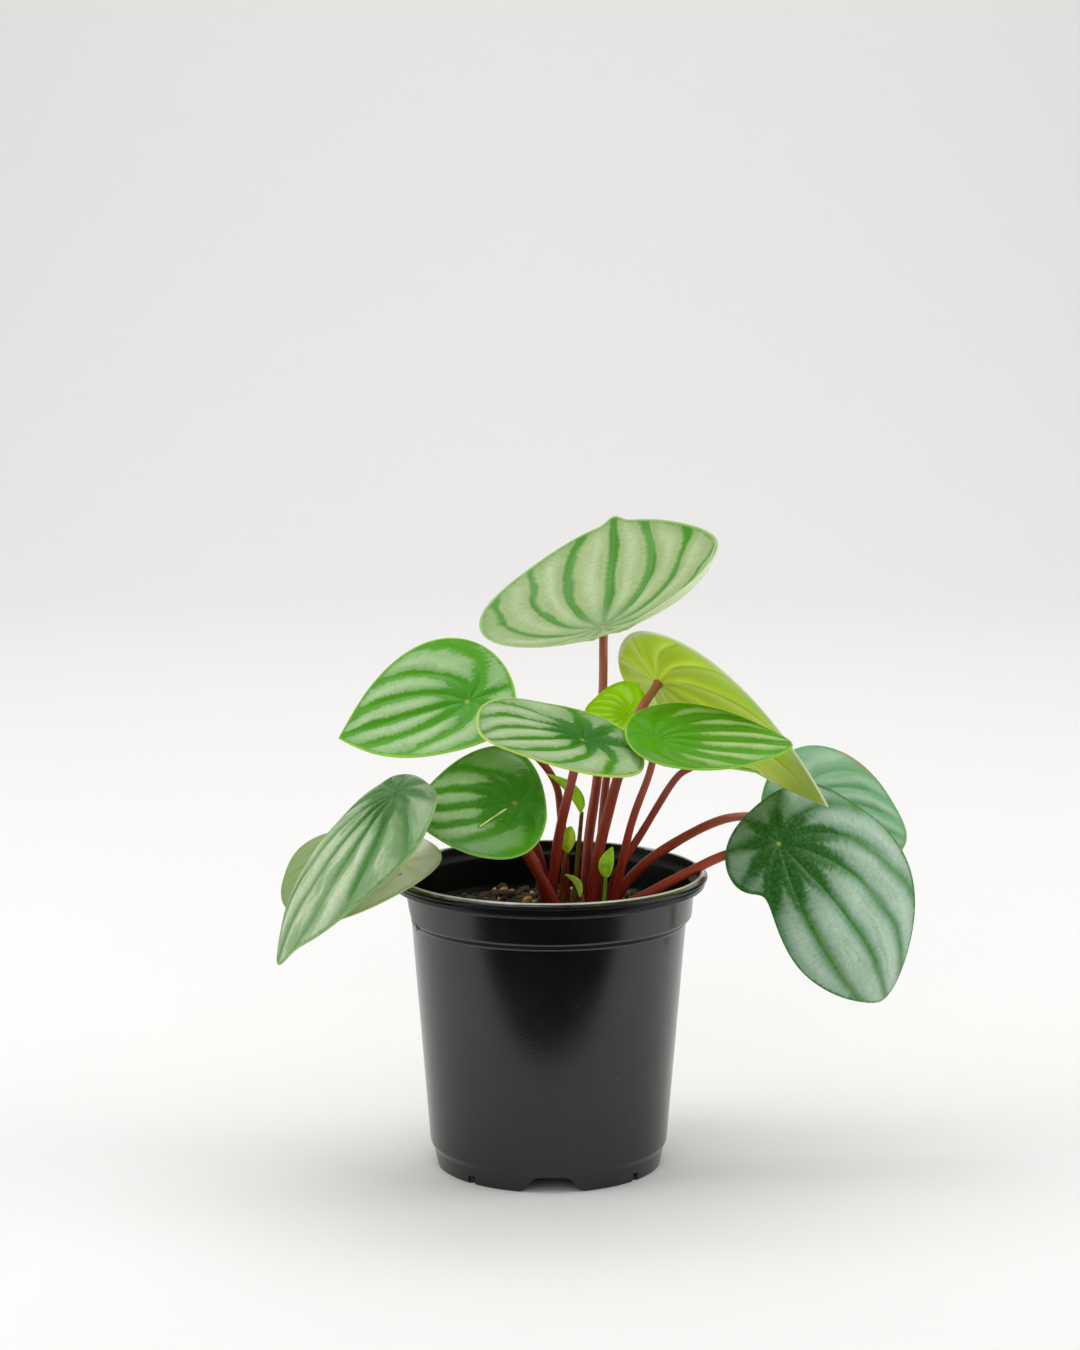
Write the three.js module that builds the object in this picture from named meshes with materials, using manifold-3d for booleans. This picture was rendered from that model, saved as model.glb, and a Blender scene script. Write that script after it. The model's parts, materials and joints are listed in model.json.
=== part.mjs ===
// A watermelon peperomia in a black plastic nursery pot, in millimetres, +Z up.
// The origin is the middle of the pot's underside. -Y is the front of the plant, +X its right.
import * as THREE from "three";
import { mergeVertices } from "three/addons/utils/BufferGeometryUtils.js";
import Module from "manifold-3d";

const wasm = await Module();
wasm.setup();

// Gap that separate pieces keep where they touch.
const GAP = 0.3;
const DEGREE = Math.PI / 180;

// Pot: a thin-walled tapered tub with a collar, an overhanging lip and a foot.
const POT_HEIGHT = 103;
const POT_SIDES = 56;
const WALL = 1.2;
const LIP_RADIUS = 55;
const LIP_HEIGHT = 4.8;
const LIP_TOP_WIDTH = 2;
const LIP_FOOT_RADIUS = 54;
const COLLAR_TOP_RADIUS = 50.3;
const COLLAR_FOOT_RADIUS = 49.5;
const COLLAR_FOOT_Z = 88;
const BODY_TOP_RADIUS = 47.5;
const BODY_TOP_Z = 85.8;
const BODY_FOOT_RADIUS = 41.3;
const FOOT_STEP_Z = 8;
const FOOT_STEP_HEIGHT = 2.2;
const FOOT_TOP_RADIUS = 40.1;
const FOOT_RADIUS = 39.4;
const FOOT_CHAMFER = 0.8;
const FLOOR = 1.4;

// Raised channels under the pot, which show as notches in its foot, and its drain holes.
const CHANNELS = 4;
const CHANNEL_WIDTH = 18.4;
const CHANNEL_TOP_WIDTH = 11.4;
const CHANNEL_HEIGHT = 5.4;
const CHANNEL_START = 15;
const CHANNEL_TURN = 1.5;
const DRAIN_RADIUS = 3;
const DRAIN_AT = 27;
const CORNER_HOLE_RADIUS = 1.5;
const CORNER_HOLE_Z = 2;

// Recess in the collar on the left, where a carrying tray grips it: a slanting flat, deepest at its foot.
const RECESS_TURN = 186;
const RECESS_WIDTH = 32;
const RECESS_FOOT = [47.5, 85.9];
const RECESS_TOP = [49.6, 97.3];

// Soil, heaped a little round the crown.
const SOIL_Z = 86.5;
const SOIL_HEAP = 3;
const SOIL_HEAP_RADIUS = 24;
const SOIL_ROUGHNESS = 0.9;
const SOIL_RINGS = 7;
const SOIL_SIDES = 28;

// Crown: the short swollen stem that every stalk grows from, a dome over a tapering root stock.
const CROWN = new THREE.Vector3(12, 3, 80);
const CROWN_HALF = new THREE.Vector3(16, 13.5, 11);
const CROWN_SIDES = 20;
const ROOT_TIP_Z = 52;
const ROOT_RADIUS = 6;

// Blades and stalks.
const BLADE_MIDDLE = 1.3;
const BLADE_EDGE = 0.8;
const BLADE_AROUND = 36;
const BLADE_RINGS = [0.26, 0.52, 0.78, 1];
const VEIN_ANGLES = [0, 30, 62, 96, 134, 180];
const VEIN_RELIEF = 0.55;
const STALK_SIDES = 8;
const STALK_STEPS = 12;

// Each leaf: where its stalk joins it, which way its tip points (heading from +X, pitch up, roll about
// the midrib), its reach to tip and base, its half width left and right, how much wider it is towards
// the base, any dents in its margin, how far each end and side bends up from the join, and the
// points that its stalk passes through from inside the crown, with its radius at crown and blade.
const LEAVES = [
  {
    name: "top",
    colour: 0x8fb184,
    join: [18.8, 34, 183.9],
    heading: 80, pitch: 18, roll: -15,
    fore: 64, aft: 25, half: [44, 47], egg: 0.28,
    bends: { tip: 30, base: 30, left: 26, right: 32 },
    stalk: { route: [[12, 10, 86], [14, 18, 110], [17.2, 25, 132], [19, 31, 159.4]], radii: [1.9, 1.5] },
  },
  {
    name: "left_upper",
    colour: 0x5f9a4c,
    join: [-28, -4, 163],
    heading: 184, pitch: -14, roll: -41,
    fore: 46, aft: 17, half: [27, 29], egg: 0.12,
    bends: { tip: -6, base: 10, left: 32, right: 6 },
    stalk: { route: [[6.5, 9, 86], [4.5, 8.5, 118], [-1, 6, 138]], radii: [1.7, 1.3] },
  },
  {
    name: "centre",
    colour: 0x86ab76,
    join: [11.5, -24, 153.3],
    heading: 230, pitch: 5, roll: -20,
    fore: 50, aft: 17, half: [28, 28], egg: 0.12,
    bends: { tip: 4, base: 30, left: 1, right: 8 },
    stalk: { route: [[0.5, 0, 86], [3, -8, 114], [8, -19, 139]], radii: [1.9, 1.5] },
  },
  {
    name: "left_middle",
    colour: 0x47804a,
    join: [-11.5, -22, 131],
    heading: 184, pitch: -2, roll: -47,
    fore: 36, aft: 11, half: [23, 23], egg: 0.3,
    bends: { tip: -12, base: -20, left: 14, right: -4 },
    stalk: { route: [[5.5, -5, 86], [-3, -10, 103], [-10, -17, 118]], radii: [2.2, 1.7] },
  },
  {
    name: "left_lower",
    colour: 0x8aa98a,
    join: [-51.5, -38, 137],
    heading: 192, pitch: -38, roll: -22,
    fore: 72, aft: 14, half: [24, 21], egg: 0.2,
    dents: [{ at: 135, depth: -0.12, spread: 30 }],
    bends: { tip: -40, base: -62, left: -25, right: -36 },
    stalk: { route: [[0, 6, 86], [-8, 2, 109], [-37, -11, 119.5], [-51, -27, 126]], radii: [1.9, 1.5] },
  },
  {
    name: "left_low_back",
    colour: 0x8ba083,
    join: [-51, -20, 109.6],
    heading: 172, pitch: -12, roll: -22,
    fore: 42, aft: 15, half: [28, 27], egg: -0.35,
    bends: { tip: -10, base: -6, left: 6, right: -6 },
    stalk: {
      route: [[2, 11.5, 86], [-10, 12, 118], [-38, 14, 119], [-52, 3, 107], [-53, -13, 105.8]],
      radii: [1.7, 1.3],
    },
  },
  {
    name: "right_underside",
    colour: 0x9cbc3c,
    join: [39.3, 24, 166],
    heading: -23, pitch: -24, roll: -50,
    fore: 77, aft: 18, half: [29, 28], egg: 0.4,
    bends: { tip: -20, base: 6, left: 20, right: -6 },
    stalk: { route: [[13.5, 2, 86], [19, 1.5, 117], [29.9, 6, 153.6]], radii: [2.2, 1.5] },
  },
  {
    name: "right_centre",
    colour: 0x6fa83c,
    join: [36.4, -20, 153],
    heading: 2, pitch: -5, roll: 19,
    fore: 46, aft: 11, half: [23, 23], egg: 0.2,
    bends: { tip: 4, base: 8, left: 8, right: 8 },
    stalk: { route: [[21.5, -3, 86], [27.5, -11, 119], [34, -17.5, 140]], radii: [1.8, 1.4] },
  },
  {
    name: "young_back",
    colour: 0x86b22c,
    join: [27.1, 20, 154.9],
    heading: 165, pitch: 0, roll: -55,
    fore: 15, aft: 7, half: [12, 12], egg: 0.2,
    bends: { tip: 4, base: 8, left: 8, right: 8 },
    stalk: { route: [[17, 8, 86], [18.6, 14, 115.4], [21.1, 17, 137.3]], radii: [1.7, 1.2] },
  },
  {
    name: "right_lower",
    colour: 0x55866a,
    join: [79.5, -1, 112.6],
    heading: -10, pitch: -42, roll: 58,
    fore: 83, aft: 17, half: [38, 27], egg: 0.2,
    dents: [{ at: -108, depth: 0.36, spread: 18 }, { at: 115, depth: 0.16, spread: 30 }],
    bends: { tip: -62, base: -50, left: -16, right: -40 },
    stalk: { route: [[15, -8, 86], [36, -8, 97.5], [60, 2, 107.5], [74, 6, 109.5]], radii: [2, 1.5] },
  },
  {
    name: "right_back",
    colour: 0x6f9c84,
    join: [90, 30, 119.5],
    heading: 2, pitch: -15, roll: 50,
    fore: 40, aft: 15, half: [29, 29], egg: 0.12,
    bends: { tip: -10, base: -6, left: -10, right: -6 },
    stalk: {
      route: [[21.5, 6, 87], [28, 8, 98], [41, 11, 108.5], [62, 23, 116.5], [83, 36, 115]],
      radii: [1.9, 1.4],
    },
  },
  {
    name: "right_inner",
    colour: 0x7ba33c,
    join: [49, -2, 141.3],
    heading: -12, pitch: -2, roll: -11,
    fore: 24, aft: 10, half: [13, 13], egg: 0.2,
    bends: { tip: -8, base: -6, left: 4, right: 4 },
    stalk: { route: [[18, 2.2, 86], [24, 2.2, 102], [33, 3, 117], [43, 1, 134]], radii: [1.8, 1.4] },
  },
];

// New growth between the stalks: the points that its stem passes through, the stem's radius, and the
// length, width and thickness of the folded bud at its end, with the way the bud points.
const SHOOTS = [
  {
    name: "tall_shoot",
    colour: 0x6fa02c,
    route: [[8.5, 2.5, 86], [9.5, 2.5, 104], [10.6, 2, 124]],
    radius: 0.9,
    bud: { size: [18, 8, 2.4], heading: 182, pitch: 48, roll: 60 },
  },
  {
    name: "left_shoot",
    colour: 0x7cae34,
    route: [[5, 4, 86], [4.2, 4.5, 98], [6, 5, 109]],
    radius: 0.8,
    bud: { size: [9, 5, 2], heading: 60, pitch: 70, roll: 20 },
  },
  {
    name: "right_shoot",
    colour: 0xa6c63c,
    route: [[17, -3.5, 86], [17.2, -3.6, 91], [17.6, -3.8, 95]],
    radius: 0.9,
    bud: { size: [15, 6, 2.2], heading: 0, pitch: 80, roll: -20 },
  },
  {
    name: "front_shoot",
    colour: 0xb08a3c,
    route: [[11, -6, 86], [11, -6.6, 90.5], [9.6, -7, 94]],
    radius: 0.9,
    bud: { size: [7, 3.2, 1.8], heading: 185, pitch: 40, roll: 40 },
  },
];

// Closed three.js geometry as a solid for joins and cuts.
function solid(geometry) {
  const bare = geometry.clone();
  bare.deleteAttribute("normal");
  bare.deleteAttribute("uv");
  const merged = mergeVertices(bare, 1e-4);
  return new wasm.Manifold(
    new wasm.Mesh({
      numProp: 3,
      vertProperties: new Float32Array(merged.attributes.position.array),
      triVerts: new Uint32Array(merged.index.array),
    }),
  );
}

// The solid's surface as three.js geometry.
function geometryOf(body) {
  const mesh = body.getMesh();
  const points = new Float32Array(mesh.numVert * 3);
  for (let i = 0; i < mesh.numVert; i++) {
    const start = i * mesh.numProp;
    points.set(mesh.vertProperties.subarray(start, start + 3), i * 3);
  }
  const geometry = new THREE.BufferGeometry();
  geometry.setAttribute("position", new THREE.BufferAttribute(points, 3));
  geometry.setIndex(new THREE.BufferAttribute(new Uint32Array(mesh.triVerts), 1));
  return geometry;
}

// A turned body about +Z, from [radius, z] points that start and end on the axis or close on themselves.
function turned(points, sides) {
  const profile = points.map(([radius, z]) => new THREE.Vector2(radius, z));
  return new THREE.LatheGeometry(profile, sides).rotateX(Math.PI / 2);
}

// The same seeded numbers on every run, from 0 to 1.
function seeded(seed) {
  let state = seed;
  return () => {
    state = (state * 16807) % 2147483647;
    return state / 2147483647;
  };
}

// Pot.
const INNER = [
  [FOOT_RADIUS - WALL, FLOOR],
  [FOOT_TOP_RADIUS - WALL, FOOT_STEP_Z - FOOT_STEP_HEIGHT],
  [BODY_FOOT_RADIUS - WALL, FOOT_STEP_Z],
  [BODY_TOP_RADIUS - WALL, BODY_TOP_Z],
  [COLLAR_FOOT_RADIUS - WALL, COLLAR_FOOT_Z],
  [COLLAR_TOP_RADIUS - WALL, POT_HEIGHT - LIP_HEIGHT],
];

function channel(grow) {
  const foot = CHANNEL_WIDTH / 2 + grow;
  const top = CHANNEL_TOP_WIDTH / 2 + grow;
  const high = CHANNEL_HEIGHT + grow;
  const section = new THREE.Shape([
    new THREE.Vector2(-foot, -1),
    new THREE.Vector2(foot, -1),
    new THREE.Vector2(foot - 0.6, 0.9),
    new THREE.Vector2(top + 0.9, high - 0.8),
    new THREE.Vector2(top, high),
    new THREE.Vector2(-top, high),
    new THREE.Vector2(-top - 0.9, high - 0.8),
    new THREE.Vector2(0.6 - foot, 0.9),
  ]);
  const depth = FOOT_RADIUS + 4 - CHANNEL_START + grow;
  return new THREE.ExtrudeGeometry(section, { depth, bevelEnabled: false })
    .rotateX(Math.PI / 2)
    .translate(0, grow - CHANNEL_START, 0);
}

// Every channel, turned round the pot, larger by grow on each side.
function channels(grow) {
  let all = null;
  for (let i = 0; i < CHANNELS; i++) {
    const turn = (i * 360) / CHANNELS + CHANNEL_TURN;
    const one = solid(channel(grow).rotateZ(turn * DEGREE));
    all = all ? all.add(one) : one;
  }
  return all;
}

// Part of a ring between two radii and two heights, as wide as given, towards turn.
function arc([inner, outer], [low, high], width, turn) {
  const ring = turned([[inner, low], [outer, low], [outer, high], [inner, high], [inner, low]], POT_SIDES);
  const slice = new THREE.BoxGeometry(outer, width, high - low + 2)
    .translate(outer / 2 + 2, 0, (low + high) / 2)
    .rotateZ(turn * DEGREE);
  return solid(ring).intersect(solid(slice));
}

function potSolid() {
  const outer = [
    [0, 0],
    [FOOT_RADIUS - FOOT_CHAMFER, 0],
    [FOOT_RADIUS, FOOT_CHAMFER],
    [FOOT_TOP_RADIUS, FOOT_STEP_Z - FOOT_STEP_HEIGHT],
    [BODY_FOOT_RADIUS, FOOT_STEP_Z],
    [BODY_TOP_RADIUS, BODY_TOP_Z],
    [COLLAR_FOOT_RADIUS, COLLAR_FOOT_Z],
    [COLLAR_TOP_RADIUS, POT_HEIGHT - LIP_HEIGHT],
    [LIP_FOOT_RADIUS, POT_HEIGHT - LIP_HEIGHT],
    [LIP_FOOT_RADIUS + 0.3, POT_HEIGHT - LIP_HEIGHT / 2],
    [LIP_RADIUS, POT_HEIGHT - 1.4],
    [LIP_RADIUS - 0.5, POT_HEIGHT],
    [LIP_RADIUS - LIP_TOP_WIDTH, POT_HEIGHT],
    [LIP_RADIUS - LIP_TOP_WIDTH - 1, POT_HEIGHT - LIP_HEIGHT + 1.4],
  ];
  const profile = [...outer, ...INNER.slice().reverse(), [0, FLOOR]];
  const envelope = solid(turned([...outer.slice(0, 6), [0, BODY_TOP_Z]], POT_SIDES));
  const walls = channels(WALL).intersect(envelope);
  let pot = solid(turned(profile, POT_SIDES)).add(walls).subtract(channels(0));
  for (let i = 0; i < CHANNELS; i++) {
    const turn = (i * 360) / CHANNELS + CHANNEL_TURN;
    const drain = new THREE.CylinderGeometry(DRAIN_RADIUS, DRAIN_RADIUS, 20, 12)
      .rotateX(Math.PI / 2)
      .translate(0, -DRAIN_AT, 0)
      .rotateZ(turn * DEGREE);
    const corner = new THREE.CylinderGeometry(CORNER_HOLE_RADIUS, CORNER_HOLE_RADIUS, 5, 8)
      .translate(0, -FOOT_RADIUS, CORNER_HOLE_Z)
      .rotateZ((turn + 180 / CHANNELS + 2) * DEGREE);
    pot = pot.subtract(solid(drain)).subtract(solid(corner));
  }
  const back = RECESS_FOOT[0] - WALL + 0.1;
  const backing = arc([back, COLLAR_FOOT_RADIUS + 0.1], [86.4, 98.6], RECESS_WIDTH, RECESS_TURN);
  return pot.add(backing).subtract(solid(recess()));
}

// What the recess takes off the collar.
function recess() {
  const out = LIP_RADIUS + 2;
  const corners = [RECESS_FOOT, [out, RECESS_FOOT[1]], [out, RECESS_TOP[1]], RECESS_TOP];
  const section = new THREE.Shape(corners.map(([reach, z]) => new THREE.Vector2(reach, z)));
  return new THREE.ExtrudeGeometry(section, { depth: RECESS_WIDTH, bevelEnabled: false })
    .rotateX(Math.PI / 2)
    .translate(0, RECESS_WIDTH / 2, 0)
    .rotateZ(RECESS_TURN * DEGREE);
}

// Crown, larger by grow on every side.
function crownGeometry(grow) {
  const points = [[0, ROOT_TIP_Z - grow], [ROOT_RADIUS / 2 + grow, ROOT_TIP_Z - grow]];
  points.push([ROOT_RADIUS + grow, ROOT_TIP_Z + 10]);
  for (let angle = -45; angle <= 90; angle += 15) {
    const radius = (CROWN_HALF.x + grow) * Math.cos(angle * DEGREE);
    const rise = (CROWN_HALF.z + grow) * Math.sin(angle * DEGREE);
    points.push([angle === 90 ? 0 : radius, CROWN.z + rise]);
  }
  const flatten = (CROWN_HALF.y + grow) / (CROWN_HALF.x + grow);
  return turned(points, CROWN_SIDES).scale(1, flatten, 1).translate(CROWN.x, CROWN.y, 0);
}

// Blade.
// Its outline, with the join at 0,0 and the tip on +x.
const TIP_POINT = 0.08;
const TIP_SPREAD = 0.45;

function outline(leaf, t) {
  const length = leaf.fore + leaf.aft;
  const point = length * TIP_POINT * Math.exp(-((t / TIP_SPREAD) ** 2));
  const x = (leaf.fore - leaf.aft) / 2 + (length / 2) * Math.cos(t) * (1 - TIP_POINT) + point;
  const y = leaf.half[t > 0 ? 0 : 1] * Math.sin(t) * (1 - leaf.egg * Math.cos(t));
  let keep = 1;
  for (const { at, depth, spread } of leaf.dents ?? [])
    keep -= depth * Math.exp(-(((t / DEGREE - at) / spread) ** 2));
  return [(x - (length / 2) * TIP_POINT) * keep, y * keep];
}

// How high the blade puffs up between its veins, which arch from the join to the tip.
function puff(leaf, x, y) {
  const angle = Math.abs(Math.atan2(y, x - (x * x + y * y) / leaf.fore)) / DEGREE;
  let vein = 1;
  while (angle > VEIN_ANGLES[vein]) vein++;
  const between = (angle - VEIN_ANGLES[vein - 1]) / (VEIN_ANGLES[vein] - VEIN_ANGLES[vein - 1]);
  const away = Math.min(1, Math.hypot(x, y) / (0.4 * leaf.half[0]));
  return VEIN_RELIEF * away * Math.sin(Math.PI * between);
}

// How far a flat length s reaches and rises when it is bent by an angle over its full reach.
function bent(s, angle, reach) {
  const curl = (angle * DEGREE) / reach;
  if (Math.abs(curl) < 1e-6) return [s, 0];
  return [Math.sin(curl * s) / curl, (1 - Math.cos(curl * s)) / curl];
}

function bladePoint(leaf, x, y) {
  const { tip, base, left, right } = leaf.bends;
  const [along, rise] = x > 0 ? bent(x, tip, leaf.fore) : bent(x, base, leaf.aft);
  const [aside, lift] = y > 0 ? bent(y, left, leaf.half[0]) : bent(y, right, leaf.half[1]);
  return new THREE.Vector3(along, aside, rise + lift + puff(leaf, x, y));
}

function bladeNormal(leaf, x, y) {
  const step = 0.5;
  const dx = bladePoint(leaf, x + step, y).sub(bladePoint(leaf, x - step, y));
  const dy = bladePoint(leaf, x, y + step).sub(bladePoint(leaf, x, y - step));
  return dx.cross(dy).normalize();
}

// Both faces of the blade are split alike, and the rim joins them.
function bladeGeometry(leaf) {
  const flat = [[0, 0, 0]];
  for (const ring of BLADE_RINGS)
    for (let i = 0; i < BLADE_AROUND; i++) {
      const [x, y] = outline(leaf, Math.PI * 2 * (i / BLADE_AROUND - (i > BLADE_AROUND / 2 ? 1 : 0)));
      flat.push([x * ring, y * ring, ring]);
    }
  const points = [];
  for (const face of [0, 1])
    for (const [x, y, ring] of flat) {
      const thick = BLADE_MIDDLE + (BLADE_EDGE - BLADE_MIDDLE) * ring;
      const at = bladePoint(leaf, x, y);
      if (face) at.addScaledVector(bladeNormal(leaf, x, y), -thick);
      points.push(at.x, at.y, at.z);
    }
  const triangles = [];
  const under = flat.length;
  const both = (a, b, c) => triangles.push(a, b, c, under + a, under + c, under + b);
  for (let i = 0; i < BLADE_AROUND; i++) {
    const next = (i + 1) % BLADE_AROUND;
    both(0, 1 + i, 1 + next);
    for (let ring = 1; ring < BLADE_RINGS.length; ring++) {
      const inner = 1 + (ring - 1) * BLADE_AROUND;
      const outer = inner + BLADE_AROUND;
      both(inner + i, outer + i, outer + next);
      both(inner + i, outer + next, inner + next);
    }
    const rim = 1 + (BLADE_RINGS.length - 1) * BLADE_AROUND;
    triangles.push(rim + i, under + rim + i, under + rim + next);
    triangles.push(rim + i, under + rim + next, rim + next);
  }
  const geometry = new THREE.BufferGeometry();
  geometry.setAttribute("position", new THREE.Float32BufferAttribute(points, 3));
  geometry.setIndex(triangles);
  return geometry;
}

// Turns a leaf's own frame, tip on +x and upper face on +z, to where it grows.
function leafTurn(leaf) {
  return new THREE.Euler(leaf.roll * DEGREE, -leaf.pitch * DEGREE, leaf.heading * DEGREE, "ZYX");
}

// Stalk: a round tapering rod from the crown to the underside of its blade.
function stalkRod(leaf, grow) {
  const points = [...leaf.stalk.route, leaf.join].map((point) => new THREE.Vector3(...point));
  const curve = new THREE.CatmullRomCurve3(points, false, "catmullrom", 0.5);
  const radii = leaf.stalk.radii.map((radius) => radius + grow);
  return rodGeometry(curve, radii, STALK_SIDES, STALK_STEPS);
}

function stalkSolid(leaf) {
  const room = new THREE.BoxGeometry(16, 16, 10).translate(0, 0, 5 - BLADE_MIDDLE - GAP);
  const blade = new THREE.Matrix4().makeRotationFromEuler(leafTurn(leaf)).setPosition(...leaf.join);
  return solid(stalkRod(leaf, 0))
    .subtract(solid(crownGeometry(GAP)))
    .subtract(solid(room.applyMatrix4(blade)));
}

function rodGeometry(curve, radii, sides, steps) {
  const rod = new THREE.CylinderGeometry(radii[1], radii[0], 1, sides, steps);
  const { normals, binormals } = curve.computeFrenetFrames(steps, false);
  const place = rod.getAttribute("position");
  for (let i = 0; i < place.count; i++) {
    const step = Math.round((place.getY(i) + 0.5) * steps);
    const at = curve.getPointAt(step / steps);
    at.addScaledVector(normals[step], place.getX(i));
    at.addScaledVector(binormals[step], -place.getZ(i));
    place.setXYZ(i, at.x, at.y, at.z);
  }
  return rod;
}

// Shoot: a thin stem that ends in a flat pointed bud.
const BUD_POINT = 0.45;

function budGeometry(shoot) {
  const [length, width, thickness] = shoot.bud.size;
  const bud = new THREE.SphereGeometry(0.5, 10, 8).rotateZ(-Math.PI / 2).translate(0.5, 0, 0);
  const place = bud.getAttribute("position");
  for (let i = 0; i < place.count; i++) {
    const x = place.getX(i);
    const narrow = 1 - BUD_POINT * x;
    place.setXYZ(i, x * length, place.getY(i) * width * narrow, place.getZ(i) * thickness * narrow);
  }
  return bud.applyMatrix4(new THREE.Matrix4().makeRotationFromEuler(leafTurn(shoot.bud)));
}

function shootSolid(shoot) {
  const points = shoot.route.map((point) => new THREE.Vector3(...point));
  const curve = new THREE.CatmullRomCurve3(points, false, "catmullrom", 0.5);
  const stem = rodGeometry(curve, [shoot.radius, shoot.radius], 6, 6);
  const end = points[points.length - 1];
  const bud = budGeometry(shoot).translate(end.x, end.y, end.z - shoot.radius);
  return solid(stem).add(solid(bud)).subtract(solid(crownGeometry(GAP)));
}

// Soil.
function soilSolid() {
  const random = seeded(11);
  const inside = INNER.filter(([, z]) => z < SOIL_Z - 2).map(([radius, z]) => [radius - GAP, z + GAP]);
  const [lowRadius, lowZ] = INNER[2];
  const [highRadius, highZ] = INNER[3];
  const edge = lowRadius + ((highRadius - lowRadius) * (SOIL_Z - 1 - lowZ)) / (highZ - lowZ) - GAP;
  const body = [[0, FLOOR + GAP], ...inside, [edge, SOIL_Z - 1]];
  for (let ring = SOIL_RINGS - 1; ring > 0; ring--) body.push([(edge * ring) / SOIL_RINGS, SOIL_Z]);
  body.push([0, SOIL_Z]);
  const plug = mergeVertices(bareOf(turned(body, SOIL_SIDES)), 1e-4);
  const place = plug.getAttribute("position");
  for (let i = 0; i < place.count; i++) {
    if (place.getZ(i) < SOIL_Z - 0.01) continue;
    const away = Math.hypot(place.getX(i) - CROWN.x, place.getY(i) - CROWN.y);
    const heap = SOIL_HEAP * Math.exp(-((away / SOIL_HEAP_RADIUS) ** 2));
    place.setZ(i, SOIL_Z + heap + SOIL_ROUGHNESS * (2 * random() - 1));
  }
  let soil = solid(plug).subtract(channels(WALL + GAP)).subtract(solid(crownGeometry(GAP)));
  for (const leaf of LEAVES) soil = soil.subtract(solid(stalkRod(leaf, GAP)));
  for (const shoot of SHOOTS) soil = soil.subtract(shootSolid(shoot));
  return soil.decompose().sort((a, b) => b.volume() - a.volume())[0];
}

function bareOf(geometry) {
  geometry.deleteAttribute("normal");
  geometry.deleteAttribute("uv");
  return geometry;
}

// Assembly.
const plant = new THREE.Group();

function place(name, geometry, color, roughness) {
  const mesh = new THREE.Mesh(geometry, new THREE.MeshStandardMaterial({ color, roughness, metalness: 0 }));
  mesh.name = name;
  plant.add(mesh);
  return mesh;
}

place("pot", geometryOf(potSolid()), 0x1c1c1d, 0.35);
place("crown", crownGeometry(0), 0x4a241c, 0.7);

for (const leaf of LEAVES) {
  place("stalk_" + leaf.name, geometryOf(stalkSolid(leaf)), 0x7d3029, 0.45);
  const blade = place("leaf_" + leaf.name, bladeGeometry(leaf), leaf.colour, 0.4);
  blade.position.set(...leaf.join);
  blade.rotation.copy(leafTurn(leaf));
}
for (const shoot of SHOOTS) place(shoot.name, geometryOf(shootSolid(shoot)), shoot.colour, 0.4);
place("soil", geometryOf(soilSolid()), 0x1d1611, 0.95);

export default plant;
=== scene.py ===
# A watermelon peperomia in a black plastic nursery pot, dressed for a studio photograph.
import json
import math
import random
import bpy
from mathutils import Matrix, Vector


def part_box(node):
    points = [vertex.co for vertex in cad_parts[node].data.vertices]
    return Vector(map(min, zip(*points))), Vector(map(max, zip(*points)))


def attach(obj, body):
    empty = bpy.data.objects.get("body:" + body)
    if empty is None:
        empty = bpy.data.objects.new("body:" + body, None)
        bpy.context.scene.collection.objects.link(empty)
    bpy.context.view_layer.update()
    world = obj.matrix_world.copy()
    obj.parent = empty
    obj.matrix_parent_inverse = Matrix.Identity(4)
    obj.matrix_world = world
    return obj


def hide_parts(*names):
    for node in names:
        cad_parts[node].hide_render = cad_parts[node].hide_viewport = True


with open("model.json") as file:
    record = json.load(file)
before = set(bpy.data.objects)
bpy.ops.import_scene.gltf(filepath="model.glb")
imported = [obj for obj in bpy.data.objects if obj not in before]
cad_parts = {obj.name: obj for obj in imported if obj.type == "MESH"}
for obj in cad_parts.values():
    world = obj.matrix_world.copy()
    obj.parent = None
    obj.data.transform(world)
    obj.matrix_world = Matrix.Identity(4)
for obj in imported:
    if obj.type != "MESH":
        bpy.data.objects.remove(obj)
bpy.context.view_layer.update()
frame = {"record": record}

from types import SimpleNamespace

import bmesh
import bpy
import numpy as np
from mathutils import Matrix, Vector, noise

MM = 0.001
SEED = 7
POT_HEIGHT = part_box("pot")[1].z / MM
LIP_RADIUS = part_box("pot")[1].x / MM


# Paint.
class Value:
    """What a material node gives, usable in sums like a number."""

    def __init__(self, finish, socket):
        self.finish = finish
        self.socket = socket

    def __abs__(self):
        return self.finish.math("ABSOLUTE", self)


SUMS = {"add": "ADD", "sub": "SUBTRACT", "mul": "MULTIPLY", "truediv": "DIVIDE", "pow": "POWER"}
for sign, operation in SUMS.items():
    setattr(Value, f"__{sign}__", lambda a, b, does=operation: a.finish.math(does, a, b))
    setattr(Value, f"__r{sign}__", lambda a, b, does=operation: a.finish.math(does, b, a))


def colour(code):
    """A colour as it looks on screen, such as 6aaa3e, in the light's own scale."""
    parts = [int(code[i : i + 2], 16) / 255 for i in (0, 2, 4)]
    return [c / 12.92 if c <= 0.04045 else ((c + 0.055) / 1.055) ** 2.4 for c in parts] + [1.0]


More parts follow.
